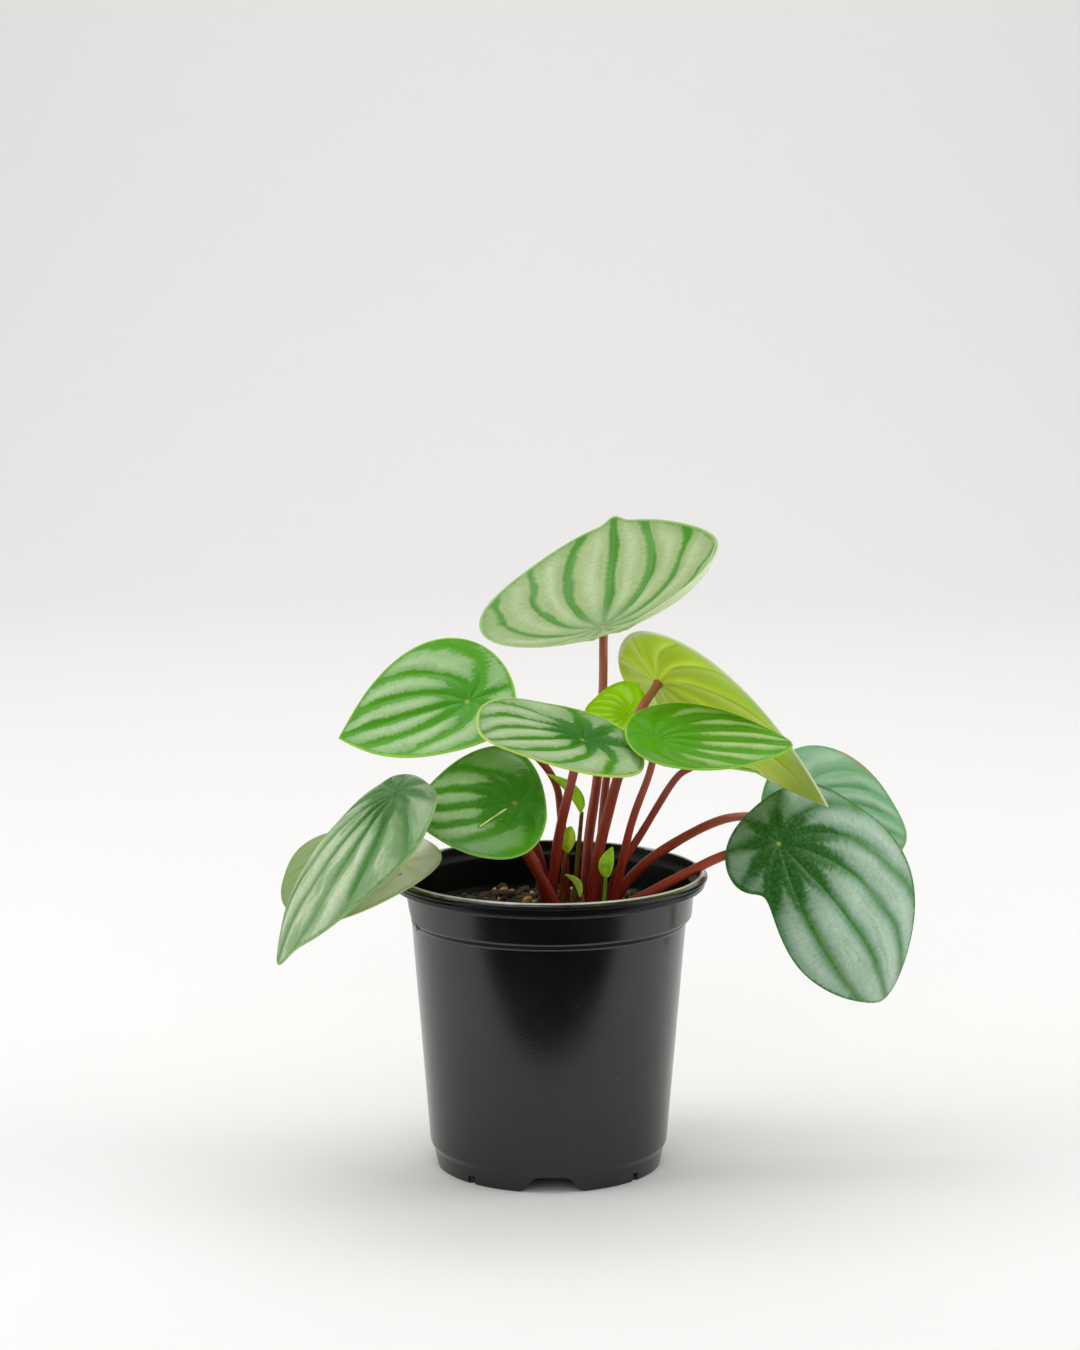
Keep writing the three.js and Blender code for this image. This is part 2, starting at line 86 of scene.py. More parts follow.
class Finish:
    """A material in the making."""

    def __init__(self, name):
        self.material = bpy.data.materials.new(name)
        self.material.use_nodes = True
        self.tree = self.material.node_tree
        self.tree.nodes.clear()

    def add(self, kind, sockets, out=0, **settings):
        """Adds a node with its settings and inputs, and gives one of its outputs."""
        node = self.tree.nodes.new(kind)
        for name, value in settings.items():
            if name == "stops":
                self.set_stops(node.color_ramp, value)
            else:
                setattr(node, name, value)
        for name, value in sockets.items():
            if isinstance(value, Value):
                self.tree.links.new(value.socket, node.inputs[name])
            else:
                node.inputs[name].default_value = value
        return Value(self, node.outputs[out]) if node.outputs else node

    @staticmethod
    def set_stops(ramp, stops):
        ramp.elements[0].position, ramp.elements[0].color = stops[0]
        ramp.elements[1].position, ramp.elements[1].color = stops[-1]
        for position, shade in stops[1:-1]:
            ramp.elements.new(position).color = shade

    def math(self, operation, *values):
        return self.add("ShaderNodeMath", dict(enumerate(values)), operation=operation)

    def step(self, value, low, high):
        """0 below low, 1 above high, smooth between."""
        sockets = {"Value": value, "From Min": low, "From Max": high}
        return self.add("ShaderNodeMapRange", sockets, interpolation_type="SMOOTHSTEP")

    def fade(self, value, low, high):
        """1 below low, 0 above high, smooth between."""
        return 1 - self.step(value, low, high)

    def mix(self, share, first, second):
        first, second = (colour(tone) if isinstance(tone, str) else tone for tone in (first, second))
        return self.add("ShaderNodeMix", {0: share, 6: first, 7: second}, 2, data_type="RGBA")

    def vector(self, x, y, z):
        return self.add("ShaderNodeCombineXYZ", {0: x, 1: y, 2: z})

    def stored(self, name):
        """The three numbers kept at each point of the mesh."""
        place = self.add("ShaderNodeAttribute", {}, "Vector", attribute_name=name)
        node = self.tree.nodes.new("ShaderNodeSeparateXYZ")
        self.tree.links.new(place.socket, node.inputs[0])
        return [Value(self, node.outputs[i]) for i in range(3)]

    def grain(self, where, scale, detail=2.0, rough=0.5):
        sockets = {"Vector": where, "Scale": scale, "Detail": detail, "Roughness": rough}
        return self.add("ShaderNodeTexNoise", sockets)

    def cells(self, where, scale, feature="F1"):
        return self.add("ShaderNodeTexVoronoi", {"Vector": where, "Scale": scale}, feature=feature)

    def place(self):
        return self.add("ShaderNodeTexCoord", {}, "Object")

    def surface(self, tone, rough, gloss=0.5, bump=None, depth=0.0001, coat=None):
        """Ends the material with its shader."""
        sockets = {"Base Color": tone, "Roughness": rough, "Specular IOR Level": gloss, **(coat or {})}
        if bump is not None:
            sockets["Normal"] = self.add("ShaderNodeBump", {"Height": bump, "Distance": depth})
        shader = self.add("ShaderNodeBsdfPrincipled", sockets)
        self.add("ShaderNodeOutputMaterial", {"Surface": shader})
        return self.material


def grainy(name, grain, reach, first, second, rough, gloss=0.5, depth=0.0001, share=1.0):
    """A finish of two tones that follow its bumps."""
    f = Finish(name)
    bumps = f.grain(f.place(), *grain)
    return f.surface(f.mix(f.step(bumps, *reach) * share, first, second), rough, gloss, bumps, depth)


# Meshes.
def mesh_object(name, points, faces, unit=MM):
    """An object from points in millimetres, or in the unit given."""
    mesh = bpy.data.meshes.new(name)
    mesh.from_pydata(np.asarray(points, float) * unit, [], faces)
    made = bpy.data.objects.new(name, mesh)
    bpy.context.scene.collection.objects.link(made)
    return made


def shade_round(mesh):
    """Shades every face as part of a round surface."""
    mesh.polygons.foreach_set("use_smooth", [True] * len(mesh.polygons))


def piece(name, points, faces, materials, slot, replaced=(), face_material=None, stored=None):
    """A named piece riding on the plant."""
    made = mesh_object(name, points, faces)
    mesh = made.data
    for material in materials:
        mesh.materials.append(material)
    if face_material is not None:
        mesh.polygons.foreach_set("material_index", face_material)
    shade_round(mesh)
    for key, values in (stored or {}).items():
        attribute = mesh.attributes.new(key, "FLOAT_VECTOR", "POINT")
        attribute.data.foreach_set("vector", np.asarray(values, np.float32).ravel())
    mesh.update()
    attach(made, "root")
    if replaced:
        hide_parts(*replaced)
    return made


def slot_of(node):
    return next(row["material_slot"] for row in frame["record"]["subparts"] if row["node"] == node)


def circle(radius, z, sides):
    """Points round the pot's axis."""
    turns = [2 * math.pi * k / sides for k in range(sides)]
    return [(radius * math.cos(turned), radius * math.sin(turned), z) for turned in turns]


def ring_faces(joins, count, first=0):
    """Faces that join each ring of count points to the next one."""
    faces = []
    for i in range(joins):
        for k in range(count):
            a, b = first + i * count + k, first + i * count + (k + 1) % count
            faces.append([a, b, b + count, a + count])
    return faces


def turn(heading, pitch, roll):
    """Rotation that takes a part with its tip on +x and its upper face on +z to where it grows."""
    turns = ((heading, "Z"), (-pitch, "Y"), (roll, "X"))
    about = [np.array(Matrix.Rotation(math.radians(angle), 3, axis)) for angle, axis in turns]
    return about[0] @ about[1] @ about[2]


# Leaves, as in the solid model: where the stalk joins, which way the tip points (heading, pitch, roll),
# reach to tip and base, half width left and right, how much wider towards the base, dents in the margin
# (angle, depth, spread), how far each end and side bends up, the points that the stalk passes through and
# its radius at crown and blade. The skin follows:
# silver, band, centre, rim, back: colours between the veins, along them, round the join, on the margin and
# underneath; spot is that of the join, and painted_tip_shade and painted_under_tip_shade are painted shade on
# the tip, above and underneath.
# width, middle, feather, soft: the bands' width and the dark middle's reach, as shares, and how ragged
# and how soft the bands' edges are. veins, fan: angles of the veins at the join, and how far they spread.
# gloss: how strongly the skin mirrors. rim_width: how wide the pale margin is.
# tip: a drawn-out tip's share of the length, its spread and its sharpness.
# behind, short_behind: how silvery it is behind the join, and how much shorter the dark middle is there.
# patchy, streaky, heavy: uneven bands, lengthwise streaks, and a vein (angle, more) with a wider band.
# curled, rolled, strip: a margin that curls up (direction, spread, height, width), how wide a painted
# highlight along the rolled margin is, and the strip of it that shows underneath. tear, speck, golden_vein,
# brown_edge: marks; the tear's pale line is partly painted light showing through it.
LEAVES = {
    "top": dict(
        join=(18.8, 34, 183.9), aim=(80, 18, -15), fore=64, aft=25, half=(44, 47), egg=0.28,
        bends=(30, 30, 26, 32), radii=(1.9, 1.5),
        route=[(12, 10, 86), (14, 18, 110), (17.2, 25, 132), (19, 31, 159.4)],
        silver="98ac74", band="3c8408", centre="789460", rim="acc880", back="b0d860",
        width=0.15, middle=0.05, veins=(0, 56, 98, 128, 154, 180), feather=0.4, soft=0.06, gloss=0.2,
        rim_width=1.2, rolled=6.5, curled=(-108, 36, 3, 6.5), strip=("dce8c8", 5), tip=(0.035, 0.11, 2),
    ),
    "left_upper": dict(
        join=(-28, -4, 163), aim=(184, -14, -41), fore=46, aft=17, half=(27, 29), egg=0.12,
        bends=(-6, 10, 32, 6), radii=(1.5, 1.1),
        route=[(6.5, 9, 86), (4.5, 8.5, 118), (-1, 6, 138)],
        silver="8cb074", band="489400", centre="3c8c00", rim="9ccc34", back="a4cc60",
        width=0.24, middle=0.16, fan=1.8, veins=(0, 47, 112, 145, 180), feather=0.9, soft=0.07, gloss=0.2,
        rim_width=0.8, tip=(0.2, 0.65, 1),
    ),
    "centre": dict(
        join=(11.5, -24, 153.3), aim=(230, 5, -20), fore=50, aft=17, half=(28, 28), egg=0.12,
        bends=(4, 30, 1, 8), radii=(1.9, 1.5),
        route=[(0.5, 0, 86), (3, -8, 114), (8, -19, 139)],
        silver="98b080", band="3c8404", centre="1c6800", rim="c4d868", back="b4c858",
        width=0.18, middle=0.19, veins=(0, 36, 72, 108, 144, 180), feather=0.6, soft=0.07, gloss=0.08,
        rim_width=1.1,
    ),
    "left_middle": dict(
        join=(-11.5, -22, 131), aim=(184, -2, -47), fore=36, aft=11, half=(23, 23), egg=0.3,
        bends=(-12, -20, 14, -4), radii=(2.2, 1.7),
        route=[(5.5, -5, 86), (-3, -10, 103), (-10, -17, 118)],
        silver="a8d094", band="449800", centre="2c8000", rim="94cc54", back="8cb054",
        width=0.25, middle=0.27, fan=1.7, veins=(0, 50, 112, 145, 180), feather=0.7, soft=0.12, gloss=0.45,
        rim_width=0.8, behind=0.5, curled=(140, 26, 4, 5), tear=((0.09, 0.07), (0.34, 0.26)),
    ),
    "left_lower": dict(
        join=(-51.5, -38, 137), aim=(192, -38, -22), fore=72, aft=14, half=(24, 21), egg=0.2,
        bends=(-40, -62, -25, -36), radii=(1.9, 1.5),
        dents=[(135, -0.12, 30), (-125, 0.3, 35)],
        route=[(0, 6, 86), (-8, 2, 109), (-37, -11, 119.5), (-51, -27, 126)],
        silver="a0b48c", band="407c28", centre="2c6410", rim="98bc78", back="98c064",
        width=0.13, middle=0.12, veins=(0, 26, 58, 100, 140, 180), feather=0.25, soft=0.15, gloss=0.4,
        rim_width=0.8, patchy=0.8, streaky=0.6, tip=(0.1, 0.3, 2), spot="244c14",
        heavy=(58, 0.7), curled=(118, 30, 2.6, 7),
    ),
    "left_low_back": dict(
        join=(-51, -20, 109.6), aim=(172, -12, -22), fore=42, aft=15, half=(28, 27), egg=-0.35,
        bends=(-10, -6, 6, -6), radii=(1.7, 1.3), dents=[(-50, -0.35, 32)],
        route=[(2, 11.5, 86), (-10, 12, 118), (-38, 14, 119), (-52, 3, 107), (-53, -13, 105.8)],
        silver="e4e8d4", band="d4dcc0", centre="c0c458", rim="b0c880", back="a8c868",
        width=0.1, middle=0.05, feather=0.8, soft=0.2, gloss=0.15,
        rim_width=0.6, speck=(-0.04, 0.2), painted_tip_shade="587c10", painted_under_tip_shade="587c10",
    ),
    "right_underside": dict(
        join=(39.3, 24, 166), aim=(-23, -24, -50), fore=77, aft=18, half=(29, 28), egg=0.4,
        bends=(-20, 6, 20, -6), radii=(2.2, 1.5),
        route=[(13.5, 2, 86), (19, 1.5, 117), (29.9, 6, 153.6)],
        silver="c8d4a8", band="88b844", centre="88b844", rim="dce4bc", back="ccec24",
        width=0.2, middle=0.1, veins=(0, 40, 80, 110, 140, 180), feather=1.0, soft=0.08, gloss=0.3,
        rim_width=2.0, tip=(0.14, 0.55, 1), painted_under_tip_shade="90a858",
    ),
    "right_centre": dict(
        join=(36.4, -20, 153), aim=(2, -5, 19), fore=46, aft=11, half=(23, 23), egg=0.2,
        bends=(4, 8, 8, 8), radii=(1.6, 1.2),
        route=[(21.5, -3, 86), (27.5, -11, 119), (34, -17.5, 140)],
        silver="84ac4c", band="4c9000", centre="489400", rim="94cc3c", back="a4d050",
        width=0.32, middle=0.26, veins=(0, 36, 72, 108, 140, 180), feather=0.7, soft=0.1, gloss=0.1,
        rim_width=0.7, behind=0.2, spot="609c10",
    ),
    "young_back": dict(
        join=(27.1, 20, 154.9), aim=(165, 0, -55), fore=15, aft=7, half=(12, 12), egg=0.2,
        bends=(4, 8, 8, 8), radii=(1.7, 1.2),
        route=[(17, 8, 86), (18.6, 14, 115.4), (21.1, 17, 137.3)],
        silver="b8f018", band="a0e000", centre="9cd800", rim="c0e840", back="b8e82c",
        width=0.2, middle=0.2, feather=0.5, soft=0.3, gloss=0.1,
        rim_width=0.5,
    ),
    "right_lower": dict(
        join=(79.5, -1, 112.6), aim=(-10, -42, 58), fore=83, aft=17, half=(38, 27), egg=0.2,
        bends=(-62, -50, -16, -40), radii=(2, 1.5),
        dents=[(-108, 0.36, 18), (115, 0.16, 30)],
        route=[(15, -8, 86), (36, -8, 97.5), (60, 2, 107.5), (74, 6, 109.5)],
        silver="a0bca8", band="287408", centre="1c5800", rim="4c7430", back="84b058",
        width=0.14, middle=0.2, veins=(0, 36, 74, 108, 140, 180), feather=0.4, soft=0.18, gloss=0.3,
        rim_width=0.5, behind=0.7, short_behind=0.9, streaky=0.2, golden_vein=-33,
    ),
    "right_back": dict(
        join=(90, 30, 119.5), aim=(2, -15, 50), fore=40, aft=15, half=(29, 29), egg=0.12,
        bends=(-10, -6, -10, -6), radii=(1.9, 1.4),
        route=[(21.5, 6, 87), (28, 8, 98), (41, 11, 108.5), (62, 23, 116.5), (83, 36, 115)],
        silver="78a480", band="5c9c5c", centre="589850", rim="70b068", back="8cbc70",
        width=0.14, middle=0.12, feather=0.8, soft=0.2, gloss=0.4,
        rim_width=0.5, streaky=0.3, brown_edge=True,
    ),
    "right_inner": dict(
        join=(49, -2, 141.3), aim=(-12, -2, -11), fore=24, aft=10, half=(13, 13), egg=0.2,
        bends=(-8, -6, 4, 4), radii=(1.5, 1.2),
        route=[(18, 2.2, 86), (24, 2.2, 102), (33, 3, 117), (43, 1, 134)],
        silver="90c460", band="50a000", centre="4c9c00", rim="90c83c", back="a4d050",
        width=0.2, middle=0.12, feather=0.8, soft=0.08, gloss=0.15,
        rim_width=0.6,
    ),
}

# What a leaf has where its own row doesn't say otherwise.
PLAIN_LEAF = dict(
    veins=(0, 38, 76, 108, 140, 180), fan=1.35, dents=(), tip=(0.08, 0.45, 2), spot="a8b83c",
    behind=1, short_behind=0, patchy=1.1, streaky=0.12,
)

# Blade.
VEIN_RELIEF = 1.0
VEIN_MEET = 1.15
DIMPLE = 0.8
STALK_SINK = 0.8
EDGE_FLAT = 0.25
BLADE_MIDDLE = 1.3
BLADE_EDGE = 0.7
BLADE_AROUND = 240
BLADE_RINGS = 44
FIRST_RING = 0.012
EDGE_RINGS = (0.99, 0.995, 0.998)
ROUNDED_EDGE = 0.5


def outline(leaf, t):
    """The margin at angle t round the blade, with the join at 0, 0 and the tip on +x."""
    length = leaf["fore"] + leaf["aft"]
    share, spread, power = leaf["tip"]
    point = length * share * (np.exp(-((np.abs(t) / spread) ** power)) - 0.5)
    x = (leaf["fore"] - leaf["aft"]) / 2 + length / 2 * np.cos(t) * (1 - share) + point
    half = np.where(t > 0, *leaf["half"])
    y = half * np.sin(t) * (1 - leaf["egg"] * np.cos(t))
    keep = np.ones_like(t)
    for at, depth, spread in leaf["dents"]:
        keep -= depth * np.exp(-(((np.degrees(t) - at) / spread) ** 2))
    return x * keep, y * keep


def bent(s, angle, reach):
    """How far a flat length s reaches and rises, bent by an angle over its full reach."""
    curl = math.radians(angle or 1) / reach
    return np.sin(curl * s) / curl, (1 - np.cos(curl * s)) / curl


def fanned(leaf, degrees):
    """The angle at which a vein leaves the join, on a blade stretched sideways."""
    angle = math.radians(degrees)
    return math.atan2(leaf["fan"] * math.sin(angle), math.cos(angle))


def puff(leaf, x, y):
    """How high the blade puffs up between its veins, which arch from the join to past the tip."""
    away = np.hypot(x, y)
    margin_x, margin_y = outline(leaf, np.linspace(-np.pi, np.pi, 180, endpoint=False))
    reach = np.interp(np.arctan2(y, x), np.arctan2(margin_y, margin_x), np.hypot(margin_x, margin_y))
    flat = np.clip((1 - away / reach) / EDGE_FLAT, 0, 1)
    wide = y * leaf["fan"]
    angle = np.abs(np.arctan2(wide, x - (x * x + wide * wide) / (leaf["fore"] * VEIN_MEET)))
    between = np.interp(angle, [fanned(leaf, vein) for vein in leaf["veins"]], range(len(leaf["veins"]))) % 1
    rise = VEIN_RELIEF * min(1, leaf["fore"] / 45) * np.sin(np.pi * between) ** 0.7
    rise *= np.minimum(1, away / (0.4 * leaf["half"][0])) * flat * flat * (3 - 2 * flat)
    if "curled" in leaf:
        towards, spread, height, width = leaf["curled"]
        off = (np.degrees(np.arctan2(y, x)) - towards + 180) % 360 - 180
        rise += height * np.exp(-((off / spread) ** 2)) * np.clip(1 - (reach - away) / width, 0, 1) ** 2
    return rise - DIMPLE * np.exp(-((away / 3.5) ** 2))


def blade_points(leaf, x, y):
    tip, base, left, right = leaf["bends"]
    along, rise = np.where(x > 0, bent(x, tip, leaf["fore"]), bent(x, base, leaf["aft"]))
    aside, lift = np.where(y > 0, bent(y, left, leaf["half"][0]), bent(y, right, leaf["half"][1]))
    return np.stack([along, aside, rise + lift + puff(leaf, x, y)], axis=-1)


def blade_normals(leaf, x, y, step=0.4):
    across = blade_points(leaf, x + step, y) - blade_points(leaf, x - step, y)
    up = blade_points(leaf, x, y + step) - blade_points(leaf, x, y - step)
    normal = np.cross(across, up)
    return normal / np.linalg.norm(normal, axis=-1, keepdims=True)


def leaf_piece(name, leaf):
    around = np.linspace(-np.pi, np.pi, BLADE_AROUND, endpoint=False)
    edge_x, edge_y = outline(leaf, around)
    reach = np.hypot(edge_x, edge_y)
    fore = leaf["fore"]
    rings = sorted([0.0, *np.linspace(FIRST_RING, 1, BLADE_RINGS) ** 0.9, *EDGE_RINGS])
    tops, backs, stored = [], [], []
    for ring in rings:
        x, y = edge_x * ring, edge_y * ring
        inward = reach * (1 - ring)
        thick = BLADE_MIDDLE + (BLADE_EDGE - BLADE_MIDDLE) * ring
        full = np.sqrt(np.clip(1 - (1 - inward / ROUNDED_EDGE).clip(0, 1) ** 2, 0, 1))
        at, normal = blade_points(leaf, x, y), blade_normals(leaf, x, y)
        tops.append(at - normal * (thick / 2 * (1 - full))[:, None])
        backs.append(at - normal * (thick / 2 * (1 + full))[:, None])
        stored.append(np.stack([x / fore, y / fore, inward], axis=-1))
    points, kept = (
        np.vstack([above[0][:1], *above[1:], below[0][:1], *below[1:-1]])
        for above, below in ((tops, backs), (stored, stored))
    )
    count, last = BLADE_AROUND, len(tops) - 1
    under = 1 + last * count
    faces = [[0, 1 + i, 1 + (i + 1) % count] for i in range(count)]
    faces += [face[::-1] for face in ring_faces(last - 1, count, 1)]
    upper = len(faces)
    faces += [[under, under + 1 + (i + 1) % count, under + 1 + i] for i in range(count)]
    faces += ring_faces(last - 2, count, under + 1)
    margin, below = under - count, len(points) - count
    for i in range(count):
        after = (i + 1) % count
        faces.append([below + i, below + after, margin + after, margin + i])
    face_material = [0] * upper + [1] * (len(faces) - upper)
    placed = points @ turn(*leaf["aim"]).T + leaf["join"]
    materials = [upper_face(name, leaf), under_face(name, leaf)]
    node, places = "leaf_" + name, {"leaf_place": kept}
    return piece(name + "_leaf", placed, faces, materials, slot_of(node), [node], face_material, places)


# Leaf finishes.
def vein_pattern(f, leaf, seed, waver=0.35):
    """Where a point lies among the veins: how far from the nearest, and how far from join and tip."""
    p, q, inward = f.stored("leaf_place")
    away = (p * p + q * q) ** 0.5
    wide = q * leaf["fan"]
    square = p * p + wide * wide
    to_tip = ((p - VEIN_MEET) * (p - VEIN_MEET) + wide * wide) ** 0.5
    wander = (f.grain(f.vector(p * 2.4, q * 2.4, seed + 3), 1.0) - 0.5) * f.step(away, 0.05, 0.4)
    angle = f.math("ARCTAN2", wide * VEIN_MEET, p * VEIN_MEET - square)
    angle = angle + wander * waver * f.fade(abs(angle), 2.2, 2.8)
    along = f.math("LOGARITHM", (square**0.5 + 0.02) / (to_tip + 0.02), math.e)
    streak = f.grain(f.vector(angle * 5, along * 15, seed), 1.0, 3.0, 0.65) - 0.5
    blotch = f.grain(f.vector(p * 3, q * 3, seed + 5), 1.6) - 0.5
    veins = leaf["veins"]
    last = len(veins) - 1
    shades = [(i / last, i / last, i / last, 1) for i in range(len(veins))]
    stops = [(fanned(leaf, vein) / math.pi, shade) for vein, shade in zip(veins, shades)]
    phase = f.add("ShaderNodeValToRGB", {0: abs(angle) / math.pi}, stops=stops) * last
    return SimpleNamespace(
        seed=seed, p=p, q=q, inward=inward, away=away, angle=angle, along=along, streak=streak, blotch=blotch,
        off_vein=0.5 - abs(f.math("FRACT", phase) - 0.5), to_tip=to_tip,
    )


def silver_share(f, leaf, at):
    """How silvery the skin is: nothing on the bands, in the dark middle and along the margin."""
    start, soft = leaf["middle"], leaf["soft"]
    rear = f.step(abs(at.angle), 1.3, 2.1)
    off_middle = at.away * (1 + rear * leaf["short_behind"])
    merged = 0.5 * f.fade(off_middle + at.streak * 0.15, start * 0.5, start * 1.7)
    crowding = 0.28 / (at.away * at.to_tip + 0.03)
    half_band = leaf["width"] * (0.55 + crowding * 0.45) * (1 + at.blotch * leaf["patchy"])
    if "heavy" in leaf:
        heavy, more = leaf["heavy"]
        half_band = half_band * (1 + more * f.fade(abs(at.angle - fanned(leaf, heavy)), 0.15, 0.4))
    half_band = half_band * (1 - rear * 0.3) + merged
    ragged = at.off_vein + at.streak * (0.4 * leaf["feather"]) - half_band
    open_edge = f.step(at.inward + at.streak * 3.0, 0.4, 2.0)
    share = f.step(ragged, -soft, soft) * open_edge * (1 - rear * (1 - leaf["behind"]))
    return share * (0.5 + 0.5 * f.step(off_middle, start, start + 0.25))


def silver_tone(f, leaf, at, fine):
    """Silver, palest between the veins, hatched, netted and streaked with green."""
    silver, band = leaf["silver"], leaf["band"]
    tint = f.mix(0.5, silver, band)
    tone = f.mix(f.step(at.off_vein, 0.2, 0.5) * 0.7, silver, f.mix(0.35, silver, "dce8c8"))
    hatch = f.grain(f.vector(at.angle * 3, at.along * 34, at.seed + 9), 1.0, 2.0)
    tone = f.mix(f.step(hatch * 0.6 + fine * 0.4, 0.48, 0.72) * 0.5, tone, tint)
    spread = leaf["fore"] / 4
    net = f.cells(f.vector(at.p * spread, at.q * spread, at.seed), 1.0, "DISTANCE_TO_EDGE")
    tone = f.mix(f.fade(net, 0.0, 0.07) * 0.16, tone, band)
    lengthwise = f.grain(f.vector(at.angle * 2.6, at.along * 0.7, at.seed + 2), 1.7, 3.0)
    tone = f.mix(f.step(lengthwise, 0.46, 0.62) * leaf["streaky"], tone, band)
    return f.mix(f.fade(at.inward + at.blotch * 5, 0.5, 7.0) * 0.5, tone, tint)


def band_tone(f, leaf, at, fine):
    """The bands' green, deeper beside the veins and changing to the middle's."""
    band, start = leaf["band"], leaf["middle"]
    shade = f.mix(0.4, band, "0c3c00")
    tone = f.mix(f.step(at.off_vein + at.streak * 0.2, 0.03, 0.2) * 0.6, band, shade)
    tone = f.mix(f.step(at.away, start * 0.5, start + 0.22), leaf["centre"], tone)
    return f.mix(f.step(fine, 0.35, 0.75) * 0.12, tone, leaf["silver"])


def with_marks(f, leaf, at, tone):
    """Adds what one blade has: painted shade on its tip, a golden vein, a speck, a dry edge, a tear with
    painted light showing through it.
    """
    p, q, away, streak = at.p, at.q, at.away, at.streak
    # Painted shade: the tip's half of the blade darkened for the shade that falls on it.
    if "painted_tip_shade" in leaf:
        tone = f.mix(f.step(p, 0.35, 0.6) * 0.85, tone, leaf["painted_tip_shade"])
    if "golden_vein" in leaf:
        off = abs(at.angle - fanned(leaf, leaf["golden_vein"]))
        golden = f.fade(off, 0.004, 0.025) * f.step(away, 0.3, 0.45) * f.fade(away, 0.85, 0.98)
        tone = f.mix(golden * 0.55, tone, "8c7c34")
    if "speck" in leaf:
        at_p, at_q = leaf["speck"]
        off = ((p - at_p) * (p - at_p) + (q - at_q) * (q - at_q)) ** 0.5
        tone = f.mix(f.fade(off + streak * 0.01, 0.01, 0.022) * 0.85, tone, "2c3c1c")
    if "brown_edge" in leaf:
        dry = f.fade(at.inward + streak * 4, 0.6, 1.8) * f.step(q, 0.2, 0.3)
        tone = f.mix(dry * f.step(p, 0.2, 0.32) * f.fade(p, 0.55, 0.65), tone, "a08048")
    if "tear" in leaf:
        # A tear: a dark green edge and a pale yellow line, partly the tear's own edge and partly painted
        # light showing through the slit.
        off = from_line(f, p, q, *leaf["tear"]) + streak * 0.01
        tone = f.mix(f.fade(off, 0.012, 0.04) * 0.8, tone, "2c8400")
        tone = f.mix(f.fade(off, 0.006, 0.012), tone, "ecec9c")
    return tone


def upper_face(name, leaf):
    """Dark bands along the veins, silver with feathered edges between them, and a thin pale rim."""
    f = Finish("upper_face_" + name)
    at = vein_pattern(f, leaf, len(name) * 1.7)
    fine = f.grain(f.vector(at.p * 9, at.q * 9, at.seed), 9.0, 3.0)
    silver = silver_share(f, leaf, at)
    tone = f.mix(silver, band_tone(f, leaf, at, fine), silver_tone(f, leaf, at, fine))
    # Painted highlight: a pale band painted inside the rolled margin, where it would catch the light.
    if "rolled" in leaf:
        wide = leaf["rolled"] * f.fade(at.p, 0.0, 0.35) * f.fade(at.q, -0.3, 0.05)
        painted_highlight = f.step(at.inward, wide * 0.25, wide * 0.45) * f.fade(at.inward, wide * 0.9, wide * 1.2)
        tone = f.mix(painted_highlight * 0.4, tone, "d4dcbc")
    rim = f.fade(at.inward + at.blotch * 0.6, leaf["rim_width"] * 0.3, leaf["rim_width"] * 1.3)
    tone = f.mix(rim * 0.7, tone, leaf["rim"])
    spot = f.fade(at.away * leaf["fore"] + at.streak, 0.3, 1.3)
    tone = f.mix(spot * 0.8, tone, leaf["spot"])
    tone = with_marks(f, leaf, at, tone)
    pebbles = f.cells(f.vector(at.p * leaf["fore"], at.q * leaf["fore"], 0), 0.9, "SMOOTH_F1")
    rough = 0.29 + silver * 0.08 + at.blotch * 0.12
    return f.surface(tone, rough, leaf["gloss"], pebbles * 0.5 + at.streak * 0.8, 0.00014)


def from_line(f, p, q, start, end):
    """How far a point lies from the line between two others."""
    run = (end[0] - start[0], end[1] - start[1])
    square = run[0] ** 2 + run[1] ** 2
    share = (p - start[0]) * (run[0] / square) + (q - start[1]) * (run[1] / square)
    share = f.math("MINIMUM", f.math("MAXIMUM", share, 0.0), 1.0)
    off_p, off_q = p - start[0] - share * run[0], q - start[1] - share * run[1]
    return (off_p * off_p + off_q * off_q) ** 0.5


def under_face(name, leaf):
    """Paler underside with raised veins, and a strip of silver rolled over the margin."""
    f = Finish("under_face_" + name)
    at = vein_pattern(f, leaf, 3.0, 0.1)
    back = leaf["back"]
    pale = f.mix(0.35, back, "e8f46c")
    dusk = f.mix(0.22, back, "74b000")
    tone = f.mix(f.step(at.off_vein, 0.05, 0.4) * (0.7 + at.blotch), pale, dusk)
    tone = f.mix(f.step(at.away + at.blotch * 0.3, 0.2, 0.7) * 0.4, tone, pale)
    vein = f.fade(at.off_vein + at.streak * 0.02, 0.015, 0.05) * f.fade(at.away, 0.75, 1.0)
    tone = f.mix(vein * f.step(at.away, 0.1, 0.2) * 0.4, tone, "84b400")
    # Painted shade: the underside darkened towards the tip, for the shade that falls on it.
    if "painted_under_tip_shade" in leaf:
        tone = f.mix(f.step(at.p, 0.6, 0.9) * 0.7, tone, leaf["painted_under_tip_shade"])
    strip, width = leaf.get("strip", (leaf["rim"], leaf["rim_width"]))
    rim = f.fade(at.inward + at.blotch + f.step(at.q, -0.1, 0.1) * width * 0.6, width * 0.6, width)
    tone = f.mix(rim * 0.8, tone, strip)
    relief = f.grain(f.vector(at.p * leaf["fore"], at.q * leaf["fore"], 0), 0.9, 3.0) + at.streak * 0.4
    return f.surface(tone, 0.4 + at.blotch * 0.08, 0.3, relief)


# Stalks and stems.
STALK_SIDES = 20
STALK_STEPS = 90
JOIN_REACH = 6


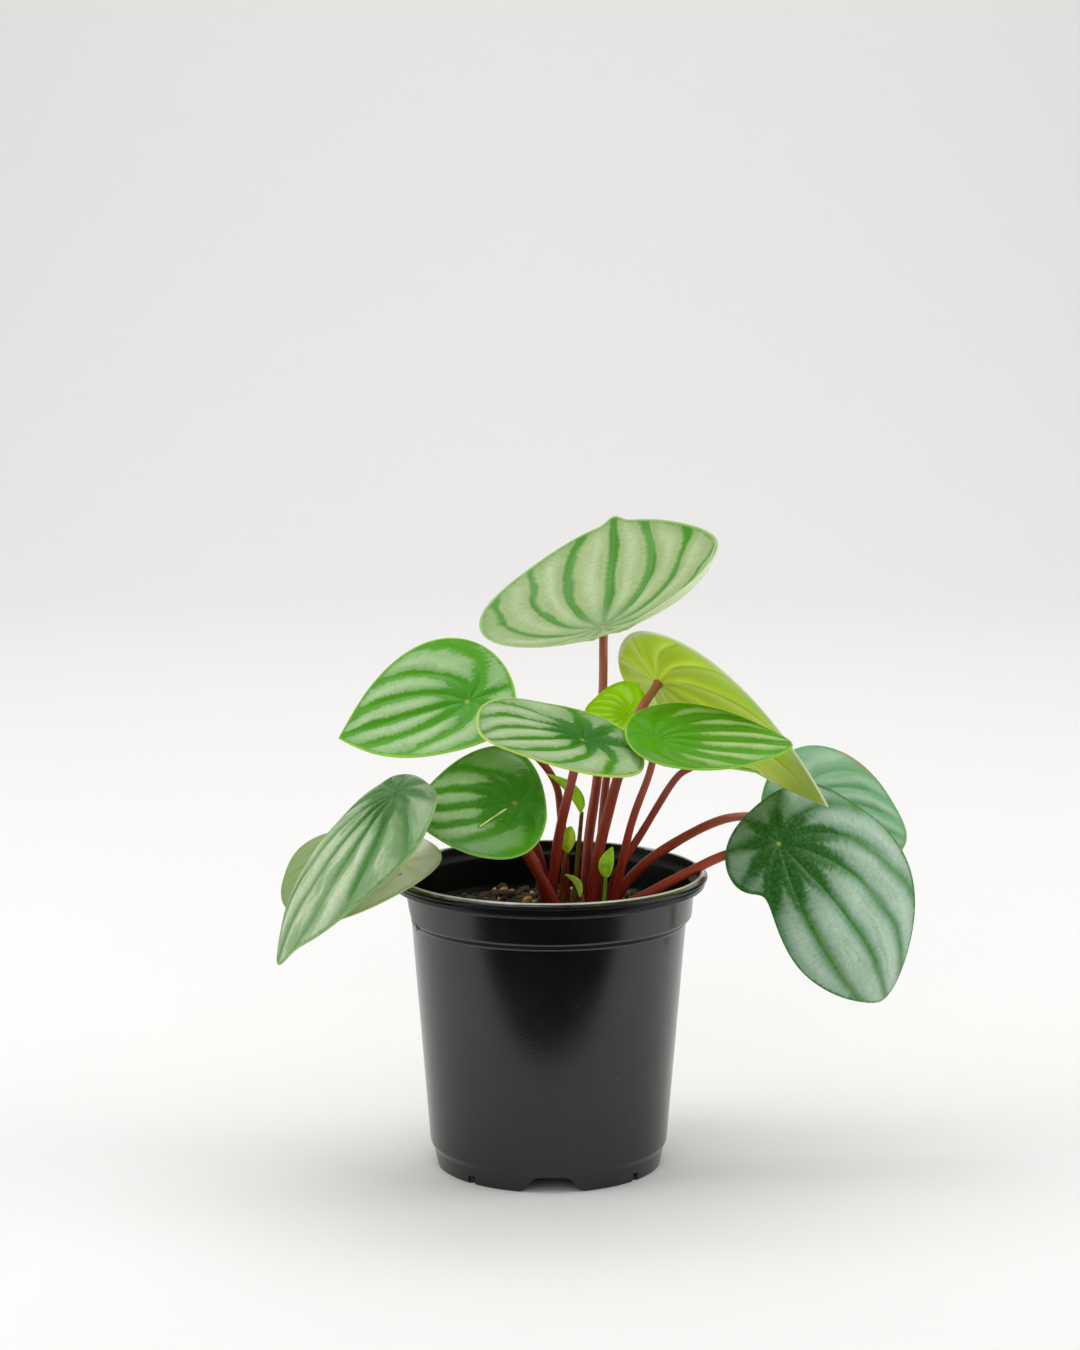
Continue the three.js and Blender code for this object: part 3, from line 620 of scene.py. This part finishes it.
def smooth_path(points, steps):
    """Evenly spaced points along a smooth line through the given ones."""
    p = np.array(points, float)
    p = np.vstack([2 * p[0] - p[1], p, 2 * p[-1] - p[-2]])
    t = np.linspace(0, 1, 60, endpoint=False)[:, None]
    line = []
    for a, b, c, d in zip(p, p[1:], p[2:], p[3:]):
        curve = 2 * b + (c - a) * t + (2 * a - 5 * b + 4 * c - d) * t**2 + (3 * b - a - 3 * c + d) * t**3
        line.append(curve / 2)
    line = np.vstack([*line, p[-2:-1]])
    run = np.concatenate([[0], np.cumsum(np.linalg.norm(np.diff(line, axis=0), axis=1))])
    wanted = np.linspace(0, run[-1], steps)
    return np.stack([np.interp(wanted, run, line[:, k]) for k in range(3)], axis=-1), run[-1]


def tube(path, radii, sides):
    """Points and faces of a closed round rod along a path, and how far round each point is."""
    ahead = np.gradient(path, axis=0)
    ahead /= np.linalg.norm(ahead, axis=1, keepdims=True)
    aside = np.cross(ahead, [0.3, 1.0, 0.1])
    aside /= np.linalg.norm(aside, axis=1, keepdims=True)
    other = np.cross(ahead, aside)
    angles = np.linspace(0, 2 * np.pi, sides, endpoint=False)
    rings = [
        path[i] + radii[i] * (np.cos(angles)[:, None] * aside[i] + np.sin(angles)[:, None] * other[i])
        for i in range(len(path))
    ]
    points = np.vstack([*rings, path[:1], path[-1:]])
    faces = ring_faces(len(path) - 1, sides)
    low, high = len(points) - 2, len(points) - 1
    top = (len(path) - 1) * sides
    for k in range(sides):
        after = (k + 1) % sides
        faces += [[low, after, k], [high, top + k, top + after]]
    return points, faces, np.tile(angles, len(path))


def stalk_piece(name, leaf, finish):
    """A stalk that tapers to its blade and flares a little where it meets it."""
    join, up = np.array(leaf["join"]), turn(*leaf["aim"])[:, 2]
    path, length = smooth_path([*leaf["route"], join - up * (STALK_SINK + DIMPLE)], STALK_STEPS)
    share = np.linspace(0, 1, STALK_STEPS)
    radii = leaf["radii"][0] + (leaf["radii"][1] - leaf["radii"][0]) * share
    left = (1 - share) * length
    radii *= 1 + 0.2 * np.exp(-((left / 2.2) ** 2)) - 0.1 * np.exp(-(((length - left) / 12) ** 2))
    radii *= 1 + 0.02 * np.sin(share * length / 3.1 + len(name))
    points, faces, angles = tube(path, radii, STALK_SIDES)
    near = np.linalg.norm(points - join, axis=1) < JOIN_REACH
    above = np.maximum(0, (points - join) @ up + STALK_SINK + DIMPLE) * near
    points -= above[:, None] * up
    along = np.repeat(share * length, STALK_SIDES)
    kept = np.zeros((len(points), 3))
    kept[:-2] = np.stack([along, np.cos(angles) * 2, np.sin(angles) * 2], axis=-1)
    kept[-2:, 0] = [0, length]
    node, places = "stalk_" + name, {"stalk_place": kept}
    return piece(name + "_stalk", points, faces, [finish], slot_of(node), [node], stored=places)


def stalk_finish():
    """Satin brown-red skin, darkest at the crown, with fine lengthwise streaks and pale flecks."""
    f = Finish("stalk_skin")
    along, side, other = f.stored("stalk_place")
    where = f.vector(along * 0.05, side * 0.9, other * 0.9)
    streak = f.grain(where, 2.0, 4.0)
    tone = f.mix(f.step(along, 0, 30), "70140c", "98301c")
    tone = f.mix(f.step(along, 30, 85), tone, "b06858")
    tone = f.mix(f.step(streak, 0.4, 0.75) * 0.4, tone, "b45c44")
    flecks = f.cells(f.vector(along * 1.1, side * 1.2, other * 1.2), 1.3)
    tone = f.mix(f.fade(flecks, 0.08, 0.2) * 0.35, tone, "cc8468")
    return f.surface(tone, 0.36, 0.3, streak + flecks * 0.2)


# New growth: folded young leaves on thin stems.
SHOOTS = {
    "tall_shoot": dict(
        route=[(8.5, 2.5, 86), (9.8, 2.5, 104), (11.4, 2, 123)], radius=0.9,
        size=(18, 8), widest=0.3, aim=(182, 50, 60), fold=58, skin="b0e430", stem="744020",
    ),
    "left_shoot": dict(
        route=[(5, 4, 86), (4.6, 4.5, 98), (6.2, 5, 108)], radius=0.8,
        size=(9.5, 7), widest=0.5, aim=(60, 74, 10), fold=30, skin="c8e820", stem="743820",
    ),
    "right_shoot": dict(
        route=[(18.5, -3.5, 86), (19.2, -3.6, 94), (19.6, -3.8, 101)], radius=0.8,
        size=(11, 6.5), widest=0.42, aim=(40, 76, 30), fold=38, skin="c4f448", stem="7ca430",
    ),
    "front_shoot": dict(
        route=[(11, -6, 86), (11.6, -6.6, 91.5), (11.3, -7, 95.5)], radius=0.9,
        size=(9.5, 4), widest=0.45, aim=(185, 58, 40), fold=50, skin="b4d048", stem="84442c",
    ),
}
STEM_STEPS, STEM_SIDES = 30, 12
SHOOT_ROWS, SHOOT_COLS = 28, 17
SHOOT_THICK = 0.7
SHOOT_NECK = 0.25
SHOOT_ARCH = 0.12
SHOOT_SINK = 0.6


def shoot_piece(name, shoot):
    """A stem with a young leaf folded along its middle."""
    path, _ = smooth_path(shoot["route"], STEM_STEPS)
    stem, stem_faces, _ = tube(path, np.linspace(1.2, 0.8, STEM_STEPS) * shoot["radius"], STEM_SIDES)
    long, wide = shoot["size"]
    rows, cols = SHOOT_ROWS, SHOOT_COLS
    u, v = np.meshgrid(np.linspace(0, 1, rows), np.linspace(-1, 1, cols), indexing="ij")
    power = math.log(0.5) / math.log(shoot["widest"])
    half = wide / 2 * np.sin(np.pi * u**power) ** 0.8 + SHOOT_NECK * (1 - u)
    fold = math.radians(shoot["fold"])
    y = half * v * math.cos(fold)
    z = half * (np.abs(v) ** 1.3) * math.sin(fold) + SHOOT_ARCH * long * np.sin(np.pi * u) - SHOOT_SINK
    sheet = np.stack([u * long, y, z], axis=-1).reshape(-1, 3)
    points = np.vstack([sheet, sheet - [0, 0, SHOOT_THICK]])
    count = len(sheet)
    faces = []
    for i in range(rows - 1):
        for k in range(cols - 1):
            a, b, c, d = i * cols + k, (i + 1) * cols + k, (i + 1) * cols + k + 1, i * cols + k + 1
            faces += [[a, b, c, d], [count + d, count + c, count + b, count + a]]
        for k, flip in ((0, 1), (cols - 1, -1)):
            a, b = i * cols + k, (i + 1) * cols + k
            faces.append([a, count + a, count + b, b][::flip])
    for i, flip in ((0, -1), (rows - 1, 1)):
        for k in range(cols - 1):
            a, b = i * cols + k, i * cols + k + 1
            faces.append([a, count + a, count + b, b][::flip])
    bud = points @ turn(*shoot["aim"]).T + path[-1]
    faces = stem_faces + [[len(stem) + i for i in face] for face in faces]
    kinds = [1] * len(stem_faces) + [0] * (len(faces) - len(stem_faces))
    materials = [
        grainy(f"{name}_{part}", (420.0, 3.0), (0.35, 0.7), shoot[part], "5c8c0c", 0.4, 0.25, share=0.35)
        for part in ("skin", "stem")
    ]
    return piece(name + "_growth", np.vstack([stem, bud]), faces, materials, "shoot", [name], kinds)


# Crown.
CROWN_LEVEL = 80
CROWN_HALF_HEIGHT = 11
CROWN_ROWS, CROWN_SIDES = 40, 72
CROWN_LOW, CROWN_HIGH = -0.6, 1.0
CROWN_KNOBS = ((4.5, 0.07), (11, 0.03))


def crown_piece():
    """The knobby stem that the stalks grow from, showing just above the soil."""
    low, high = (np.array(corner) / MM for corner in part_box("crown"))
    middle, half = (low + high) / 2, (high - low) / 2
    points = []
    for i in range(CROWN_ROWS + 1):
        rise = CROWN_LOW + (CROWN_HIGH - CROWN_LOW) * i / CROWN_ROWS
        wide = math.sqrt(max(0.0, 1 - rise * rise))
        for k in range(CROWN_SIDES):
            turned = 2 * math.pi * k / CROWN_SIDES
            spot = Vector((math.cos(turned) * wide, math.sin(turned) * wide, rise))
            bump = 1 - sum(deep * abs(noise.noise(spot * fine)) for fine, deep in CROWN_KNOBS)
            x, y = middle[0] + spot.x * half[0] * bump, middle[1] + spot.y * half[1] * bump
            points.append((x, y, CROWN_LEVEL + rise * CROWN_HALF_HEIGHT * bump))
    faces = ring_faces(CROWN_ROWS, CROWN_SIDES)
    faces.append(list(range(CROWN_SIDES))[::-1])
    bark = grainy("crown_bark", (500.0, 4.0), (0.35, 0.7), "2c120c", "7c4430", 0.7, depth=0.0004)
    return piece("crown_bark", points, faces, [bark], "crown", ["crown"])


# Pot: radius and height at each turn of its outline, the recess in its collar, the channels in its foot.
POT_SIDES = 288
WALL = 1.2
FLOOR = 1.4
FOOT = (39.4, 0)
FOOT_TOP = (40.1, 5.8)
BODY_FOOT = (41.3, 8)
BODY_TOP = (47.5, 85.8)
COLLAR_FOOT = (49.5, 88)
COLLAR_TOP = (50.2, 97.2)
LIP_FOOT = [(50.9, 97.6), (50.9, 98.3), (53.9, 98.3), (54.2, 100.2), (53.8, 100.5), (LIP_RADIUS, 101)]
LIP_TOP = [(54.7, POT_HEIGHT - 0.9), (53.5, POT_HEIGHT - 0.6), (52.9, POT_HEIGHT), (52.3, POT_HEIGHT)]
LIP_INSIDE = [(52, 99.6), (49.1, 98.2)]
CORNER = 0.5
RECESS_TURN = 186
RECESS_WIDTH = 32
RECESS_FOOT = (47.5, 85.9)
RECESS_TOP = (49.6, 97.3)
CHANNELS = 4
CHANNEL_TURN = 1.5
CHANNEL_START = 15
CHANNEL_HOLLOW = [
    (12.5, -1), (11.7, 0), (10.4, 0.4), (9.3, 1.1), (8.2, 2.4), (7.2, 3.8), (6.2, 4.8), (5, 5.3), (3.6, 5.4),
]
CHANNEL_COVER = [(11, 0), (10.2, 2.4), (8.6, 4.6), (6.8, 6.1), (4.6, 6.6)]
DRAIN_RADIUS, DRAIN_AT = 3, 27
NICK_RADIUS, NICK_TURN = 1.5, 47
# The heights at the collar's foot where a pale line is painted as a painted reflection of the floor.
PAINTED_LEDGE_REFLECTION = (85.7, 86.2, 87.2, 88)
COLLAR_STARTS, LIP_STARTS, LIP_SOLID = 86, 98, 98.2
COLLAR_LEAN = 0.078
BACKING_HEIGHTS = (86.4, 98.6)
POLISHED_LIP = (102, 102.4)
# The heights of the lip's top edge, where a near-white line is painted as a painted highlight.
PAINTED_RIM_HIGHLIGHT = (102.5, 102.7)


def rounded(corners, radius, arc=4):
    """The corners' outline with each corner rounded, a smaller radius where a side is short."""
    points = [np.array(corners[0], float)]
    for before, corner, after in zip(corners, corners[1:], corners[2:]):
        before, corner, after = (np.array(c, float) for c in (before, corner, after))
        back, on = before - corner, after - corner
        cut = min(radius, 0.45 * np.linalg.norm(back), 0.45 * np.linalg.norm(on))
        start = corner + back / np.linalg.norm(back) * cut
        end = corner + on / np.linalg.norm(on) * cut
        for s in np.linspace(0, 1, arc + 1):
            points.append((1 - s) ** 2 * start + 2 * s * (1 - s) * corner + s * s * end)
    return [*points, np.array(corners[-1], float)]


def lathe(name, profile):
    """A closed turned solid from [radius, z] points that start and end on the axis."""
    inner, sides = profile[1:-1], POT_SIDES
    points = [(0, 0, profile[0][1]), (0, 0, profile[-1][1])]
    for radius, z in inner:
        points += circle(radius, z, sides)
    faces = ring_faces(len(inner) - 1, sides, 2)
    last = 2 + (len(inner) - 1) * sides
    for k in range(sides):
        after = (k + 1) % sides
        faces += [[0, 2 + after, 2 + k], [1, last + k, last + after]]
    return mesh_object(name, points, faces)


def prism(name, section, low, high):
    """A section in x and z, pushed from y = low to y = high."""
    count = len(section)
    points = [(x, low, z) for x, z in section] + [(x, high, z) for x, z in section]
    faces = [list(range(count)), list(range(count, 2 * count))[::-1]]
    faces += [face[::-1] for face in ring_faces(1, count)]
    return mesh_object(name, points, faces)


def rod(name, radius, low, high, sides=32):
    """A round rod along z."""
    points = circle(radius, low, sides) + circle(radius, high, sides)
    faces = [list(range(sides))[::-1], list(range(sides, 2 * sides)), *ring_faces(1, sides)]
    return mesh_object(name, points, faces)


def join_or_cut(body, other, operation):
    step = body.modifiers.new(operation, "BOOLEAN")
    step.operation = operation
    step.solver = "EXACT"
    step.object = other
    graph = bpy.context.evaluated_depsgraph_get()
    mesh = bpy.data.meshes.new_from_object(body.evaluated_get(graph))
    body.modifiers.clear()
    body.data = mesh
    bpy.data.objects.remove(other)


def turned_about(made, degrees, shift=(0, 0, 0)):
    """Moves a tool's mesh and turns it about the pot's axis."""
    move = Matrix.Translation(Vector(shift) * MM)
    made.data.transform(Matrix.Rotation(math.radians(degrees), 4, "Z") @ move)
    return made


def channel(half, start):
    """A block along a radius, from half a section to the foot's edge."""
    section = half + [(-x, z) for x, z in half[::-1]]
    return prism("channel", section, -FOOT[0] - 4, start)


def pot_body():
    """The turned tub with its channels, drain holes, nicks and recess."""
    outer = [(0, 0), FOOT, FOOT_TOP, BODY_FOOT, BODY_TOP, COLLAR_FOOT, COLLAR_TOP, *LIP_FOOT, *LIP_TOP]
    wall = (COLLAR_FOOT, BODY_TOP, BODY_FOOT, FOOT_TOP, (FOOT[0], FLOOR))
    inside = [(radius - WALL, z) for radius, z in wall]
    pot = lathe("pot_skin", rounded([*outer, *LIP_INSIDE, *inside, (0, FLOOR)], CORNER))
    turns = [CHANNEL_TURN + 360 / CHANNELS * i for i in range(CHANNELS)]
    for turned in turns:
        cover = channel(CHANNEL_COVER, WALL - CHANNEL_START)
        join_or_cut(cover, rod("foot_reach", FOOT[0] - 0.2, -1, 9, POT_SIDES), "INTERSECT")
        join_or_cut(pot, turned_about(cover, turned), "UNION")
    for turned in turns:
        join_or_cut(pot, turned_about(channel(CHANNEL_HOLLOW, -CHANNEL_START), turned), "DIFFERENCE")
        drain = rod("drain", DRAIN_RADIUS, -2, 12)
        join_or_cut(pot, turned_about(drain, turned, (0, -DRAIN_AT, 0)), "DIFFERENCE")
        nick = rod("nick", NICK_RADIUS, -3, 0.9, 7)
        join_or_cut(pot, turned_about(nick, turned + NICK_TURN, (0, -FOOT[0], 2)), "DIFFERENCE")
    backing = ((RECESS_FOOT[0] - WALL + 0.1, COLLAR_FOOT[0] + 0.1), BACKING_HEIGHTS)
    join_or_cut(pot, ring_part("backing", *backing, RECESS_WIDTH, RECESS_TURN), "UNION")
    corners = [RECESS_FOOT, (60, RECESS_FOOT[1]), (60, RECESS_TOP[1]), RECESS_TOP]
    recess = prism("recess", corners, -RECESS_WIDTH / 2, RECESS_WIDTH / 2)
    join_or_cut(pot, turned_about(recess, RECESS_TURN), "DIFFERENCE")
    return pot


def pot_piece():
    """The pot, with finishes of its own inside and on its lip, and the recess's facet painted paler as a
    painted sheen.
    """
    pot = pot_body()
    mesh = pot.data
    mesh.materials.clear()
    for finish in (
        pot_finish("pot_wall", 0.62, 0.17, painted_ledge_reflection=True),
        pot_finish("pot_inside", 0.08, 0.35),
        pot_finish("pot_lip", 0.25, 0.2),
        # The recess's facet, painted paler: a painted sheen for the bright surroundings it mirrors.
        pot_finish("pot_grip_painted_sheen", 0.5, 0.25, ("2a2a2b", "383838")),
    ):
        mesh.materials.append(finish)
    wall, inside, lip, painted_sheen_facet = range(4)
    shade_round(mesh)
    mesh.set_sharp_from_angle(angle=math.radians(32))
    side = Matrix.Rotation(math.radians(RECESS_TURN), 3, "Z").col[0]
    slant = (RECESS_TOP[0] - RECESS_FOOT[0]) / (RECESS_TOP[1] - RECESS_FOOT[1])
    for face in mesh.polygons:
        x, y, z = face.center / MM
        middle = LIP_TOP[2][0]
        if z < LIP_SOLID:
            middle = COLLAR_FOOT[0] - WALL / 2 + COLLAR_LEAN * (z - COLLAR_FOOT[1])
        face.material_index = lip if z > LIP_STARTS else wall
        if z >= COLLAR_STARTS and math.hypot(x, y) < middle:
            face.material_index = inside
        # Faces on the recess's facet take the paler finish, a painted sheen, and get sharp edges.
        off = side.dot(face.center) / MM - RECESS_FOOT[0] - (z - RECESS_FOOT[1]) * slant
        if abs(off) < 0.03 and COLLAR_STARTS < z < RECESS_TOP[1] and side.dot(face.normal) > 0.9:
            face.material_index = painted_sheen_facet
            for loop in face.loop_indices:
                mesh.edges[mesh.loops[loop].edge_index].use_edge_sharp = True
    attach(pot, "root")
    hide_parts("pot")
    return pot


def ring_part(name, radii, heights, width, direction):
    """Part of a ring between two radii and two heights, as wide as given, towards a direction."""
    (inner, outer), (low, high) = radii, heights
    reach = math.degrees(math.asin(width / 2 / outer))
    angles = np.radians(np.linspace(-reach, reach, 33))
    points = []
    for radius, z in ((inner, low), (outer, low), (outer, high), (inner, high)):
        points += [(radius * math.cos(a), radius * math.sin(a), z) for a in angles]
    count = len(angles)
    faces = [[0, count, 2 * count, 3 * count], [count - 1, 4 * count - 1, 3 * count - 1, 2 * count - 1]]
    for side in range(4):
        start, end = side * count, (side + 1) % 4 * count
        for i in range(count - 1):
            faces.append([start + i, start + i + 1, end + i + 1, end + i])
    return turned_about(mesh_object(name, points, faces), direction)


def pot_finish(name, gloss, rough, shades=("0c0c0d", "121213"), painted_ledge_reflection=False):
    """Black moulded plastic with fine rubbing and dust, a polished rim on top, a painted highlight along the
    lip's top edge and, when asked, a painted reflection of the floor round the collar's foot.
    """
    f = Finish(name)
    place = f.place()
    z = f.add("ShaderNodeSeparateXYZ", {0: place}, 2) / MM
    cloud = f.grain(place, 60.0, 3.0)
    fine = f.grain(place, 1400.0, 2.0)
    dust = f.cells(place, 260.0)
    specks = f.fade(dust, 0.05, 0.09) * f.step(cloud, 0.55, 0.7)
    tone = f.mix(f.step(cloud, 0.3, 0.75), shades[0], shades[1])
    tone = f.mix(specks * 0.5, tone, "77736c")
    # Painted reflection: a pale line painted round the collar's foot, for the floor mirrored in it.
    if painted_ledge_reflection:
        low, full, fading, high = PAINTED_LEDGE_REFLECTION
        tone = f.mix(f.step(z, low, full) * f.fade(z, fading, high) * 0.85, tone, "8c8c88")
    # Painted highlight: a near-white line painted round the lip's top edge, made ragged by the fine grain.
    tone = f.mix(f.step(z + (fine - 0.5) * 0.2, *PAINTED_RIM_HIGHLIGHT) * 0.8, tone, "d8d8d4")
    coat = {"Coat Weight": f.step(z, *POLISHED_LIP), "Coat IOR": 1.8, "Coat Roughness": 0.08}
    return f.surface(tone, rough + cloud * 0.07, gloss, fine, 0.000018, coat)


# Soil.
SOIL_Z = 86.5
SOIL_EDGE = 45.8
SOIL_FOOT = (40, 10)
SOIL_RINGS, SOIL_SIDES = 70, 180
MOUND_AT, MOUND_RISE, MOUND_SPREAD = (12, 3), 3, 24
SOIL_LUMPS = ((0.22, 1.1), (0.7, 0.7))
BARK_SPOTS = [(28, 30, 3.4), (25.5, 31, 2.4), (-20, 36, 2.0), (-17.5, 30, 1.5)]
GRAIN_SPOTS = [(-9.4, 26, 0.9), (-24, 35, 0.7), (36, 24, 0.8)]


def soil_height(x, y):
    away = math.hypot(x - MOUND_AT[0], y - MOUND_AT[1])
    rise = MOUND_RISE * math.exp(-((away / MOUND_SPREAD) ** 2))
    return SOIL_Z + rise + sum(high * noise.noise(Vector((x, y, 0)) * fine) for fine, high in SOIL_LUMPS)


def soil_piece():
    """The plug of potting mix, rough on top."""
    points = [(0, 0, soil_height(0, 0))]
    for i in range(1, SOIL_RINGS + 1):
        ring = circle(SOIL_EDGE * i / SOIL_RINGS, 0, SOIL_SIDES)
        points += [(x, y, soil_height(x, y)) for x, y, _ in ring]
    points += circle(*SOIL_FOOT, SOIL_SIDES)
    faces = [[0, 1 + k, 1 + (k + 1) % SOIL_SIDES] for k in range(SOIL_SIDES)]
    faces += [face[::-1] for face in ring_faces(SOIL_RINGS, SOIL_SIDES, 1)]
    faces.append([len(points) - 1 - k for k in range(SOIL_SIDES)])
    f = Finish("potting_mix")
    place = f.place()
    crumbs = f.grain(place, 520.0, 5.0, 0.7)
    tone = f.mix(f.step(crumbs, 0.35, 0.72), "120e0b", "40342a")
    fibres = f.step(f.grain(place, 240.0, 3.0), 0.62, 0.7)
    tone = f.mix(fibres * 0.6, tone, "745434")
    mix = f.surface(tone, 0.95, bump=crumbs, depth=0.0012)
    return piece("soil_plug", points, faces, [mix], "soil", ["soil"])


def crumb_finish(name, first, second, rough):
    return grainy(name, (900.0, 4.0, 0.65), (0.3, 0.75), first, second, rough, depth=0.0003)


def strewn(count, sizes, draw):
    """Places and sizes of lumps spread evenly over the soil."""
    spots = []
    for _ in range(count):
        radius = (SOIL_EDGE - 1) * math.sqrt(draw.random())
        angle = 2 * math.pi * draw.random()
        size = sizes[0] + (sizes[1] - sizes[0]) * draw.random() ** 2
        spots.append((radius * math.cos(angle), radius * math.sin(angle), size))
    return spots


def crumbs_piece(name, spots, stretch, finish, draw):
    """Small lumps lying on the soil."""
    ball = bmesh.new()
    bmesh.ops.create_icosphere(ball, subdivisions=2, radius=1)
    shape = np.array([v.co for v in ball.verts])
    shape_faces = np.array([[v.index for v in face.verts] for face in ball.faces])
    ball.free()
    points, faces = [], []
    for i, (x, y, size) in enumerate(spots):
        lumps = 1 + 0.3 * np.array([noise.noise(Vector(v) * 1.6 + Vector((i, i, i))) for v in shape])
        scale = size * np.array([1, draw.uniform(*stretch), draw.uniform(*stretch)])
        spin = turn(draw.uniform(0, 360), draw.uniform(-60, 60), draw.uniform(0, 360))
        lump = (shape * lumps[:, None] * scale) @ spin.T
        faces.append(shape_faces + len(shape) * i)
        points.append(lump + [x, y, soil_height(x, y) + size * 0.25])
    return piece(name, np.vstack(points), np.vstack(faces).tolist(), [finish], "soil")


# Studio, in metres.
PAPER = (0.8, 0.792, 0.785, 1)
FLOOR_SPLIT = -0.135
HALF_FLOOR = 7.0
FLOOR_FRONT = -6.0
SWEEP_START, SWEEP_RADIUS, SWEEP_TOP = 1.6, 1.2, 5.0
AIR_LIGHT = (0.2, 0.55)


def paper(name, points, faces):
    """A part of the pale floor and backdrop."""
    sheet = mesh_object(name, points, faces, 1)
    shade_round(sheet.data)
    finish = Finish(name + "_paper").surface(PAPER, 0.95)
    sheet.data.materials.append(finish)
    return sheet


def stage_sweep():
    """A pale floor that curves up into a plain backdrop. Its front half doesn't mirror in the pot."""
    profile = [(FLOOR_SPLIT, 0.0), (SWEEP_START, 0.0)]
    for angle in np.linspace(0, math.pi / 2, 24)[1:]:
        y = SWEEP_START + SWEEP_RADIUS * math.sin(angle)
        profile.append((y, SWEEP_RADIUS * (1 - math.cos(angle))))
    profile.append((SWEEP_START + SWEEP_RADIUS, SWEEP_TOP))
    sides = (-HALF_FLOOR, HALF_FLOOR)
    points = [(x, y, z) for y, z in profile for x in sides]
    paper("sweep", points, [[2 * i, 2 * i + 1, 2 * i + 3, 2 * i + 2] for i in range(len(profile) - 1)])
    front = [(x, y, 0.0) for y in (FLOOR_FRONT, FLOOR_SPLIT) for x in sides]
    paper("front_floor", front, [[0, 1, 3, 2]]).visible_glossy = False


def soft_light(name, place, aim, size, power):
    lamp = bpy.data.lights.new(name, "AREA")
    lamp.shape = "RECTANGLE"
    lamp.size, lamp.size_y = size
    lamp.energy = power
    light = bpy.data.objects.new(name, lamp)
    light.location = place
    light.rotation_euler = (Vector(aim) - Vector(place)).to_track_quat("-Z", "Y").to_euler()
    bpy.context.scene.collection.objects.link(light)
    return light


def air():
    """White light from above the floor's level, brightest from behind, and nearly none from below it."""
    world = bpy.data.worlds.new("studio_air")
    bpy.context.scene.world = world
    world.use_nodes = True
    nodes, links = world.node_tree.nodes, world.node_tree.links
    split = nodes.new("ShaderNodeSeparateXYZ")
    links.new(nodes.new("ShaderNodeTexCoord").outputs["Generated"], split.inputs[0])
    total = nodes.new("ShaderNodeMath")
    total.operation = "MULTIPLY"
    for i, (axis, ends) in enumerate(((2, (-0.06, 0.02, 0.04, 1.0)), (1, (-0.7, 0.2, *AIR_LIGHT)))):
        level = nodes.new("ShaderNodeMapRange")
        links.new(split.outputs[axis], level.inputs[0])
        for k, value in enumerate(ends, 1):
            level.inputs[k].default_value = value
        links.new(level.outputs[0], total.inputs[i])
    links.new(total.outputs[0], nodes["Background"].inputs[1])
    nodes["Background"].inputs[0].default_value = (1, 0.998, 0.994, 1)


def studio():
    stage_sweep()
    middle = (0, 0, 0.12)
    for name, place, aim, size, power in (
        ("left_box", (-1.15, -0.2, 0.55), middle, (0.9, 1.3), 9),
        ("right_box", (1.15, -0.1, 0.55), middle, (0.9, 1.3), 7),
        ("top_box", (0.0, 0.5, 1.9), (0, 0.4, 0), (2.4, 2.2), 16),
        ("back_box", (0.0, 1.0, 2.4), (0, 2.4, 1.0), (3.0, 1.0), 29),
        ("front_fill", (-0.1, -1.5, 0.95), middle, (1.8, 1.0), 7.5),
    ):
        fill = soft_light(name, place, aim, size, power)
    fill.visible_glossy = False
    air()
    bpy.context.scene.view_settings.view_transform = "Standard"


def camera():
    """Level with the plant and a little above it, as the photograph was taken."""
    lens = bpy.data.cameras.new("camera")
    lens.lens = 80.8
    lens.sensor_width = 36
    lens.clip_start, lens.clip_end = 0.05, 20
    eye = bpy.data.objects.new("camera", lens)
    eye.location = (0, -1.02705, 0.3213)
    eye.rotation_euler = (math.radians(90 - 8.317), 0, math.radians(0.170))
    bpy.context.scene.collection.objects.link(eye)
    bpy.context.scene.camera = eye


camera()
studio()
pot_piece()
soil_piece()
crown_piece()
draw = random.Random(SEED)
peat, bark = strewn(700, (0.6, 2.8), draw), strewn(46, (0.8, 2.6), draw) + BARK_SPOTS
crumbs_piece("peat_crumbs", peat, (0.5, 1.0), crumb_finish("peat", "14100d", "5c4838", 0.95), draw)
crumbs_piece("bark_chips", bark, (0.3, 0.7), crumb_finish("bark", "7c5424", "dca858", 0.85), draw)
grains = strewn(34, (0.4, 1.0), draw) + GRAIN_SPOTS
crumbs_piece("pale_grains", grains, (0.8, 1.0), crumb_finish("grains", "b4ac98", "e4dccc", 0.8), draw)
skin = stalk_finish()
for name, row in LEAVES.items():
    leaf = {**PLAIN_LEAF, **row}
    leaf_piece(name, leaf)
    stalk_piece(name, leaf, skin)
for name, shoot in SHOOTS.items():
    shoot_piece(name, shoot)
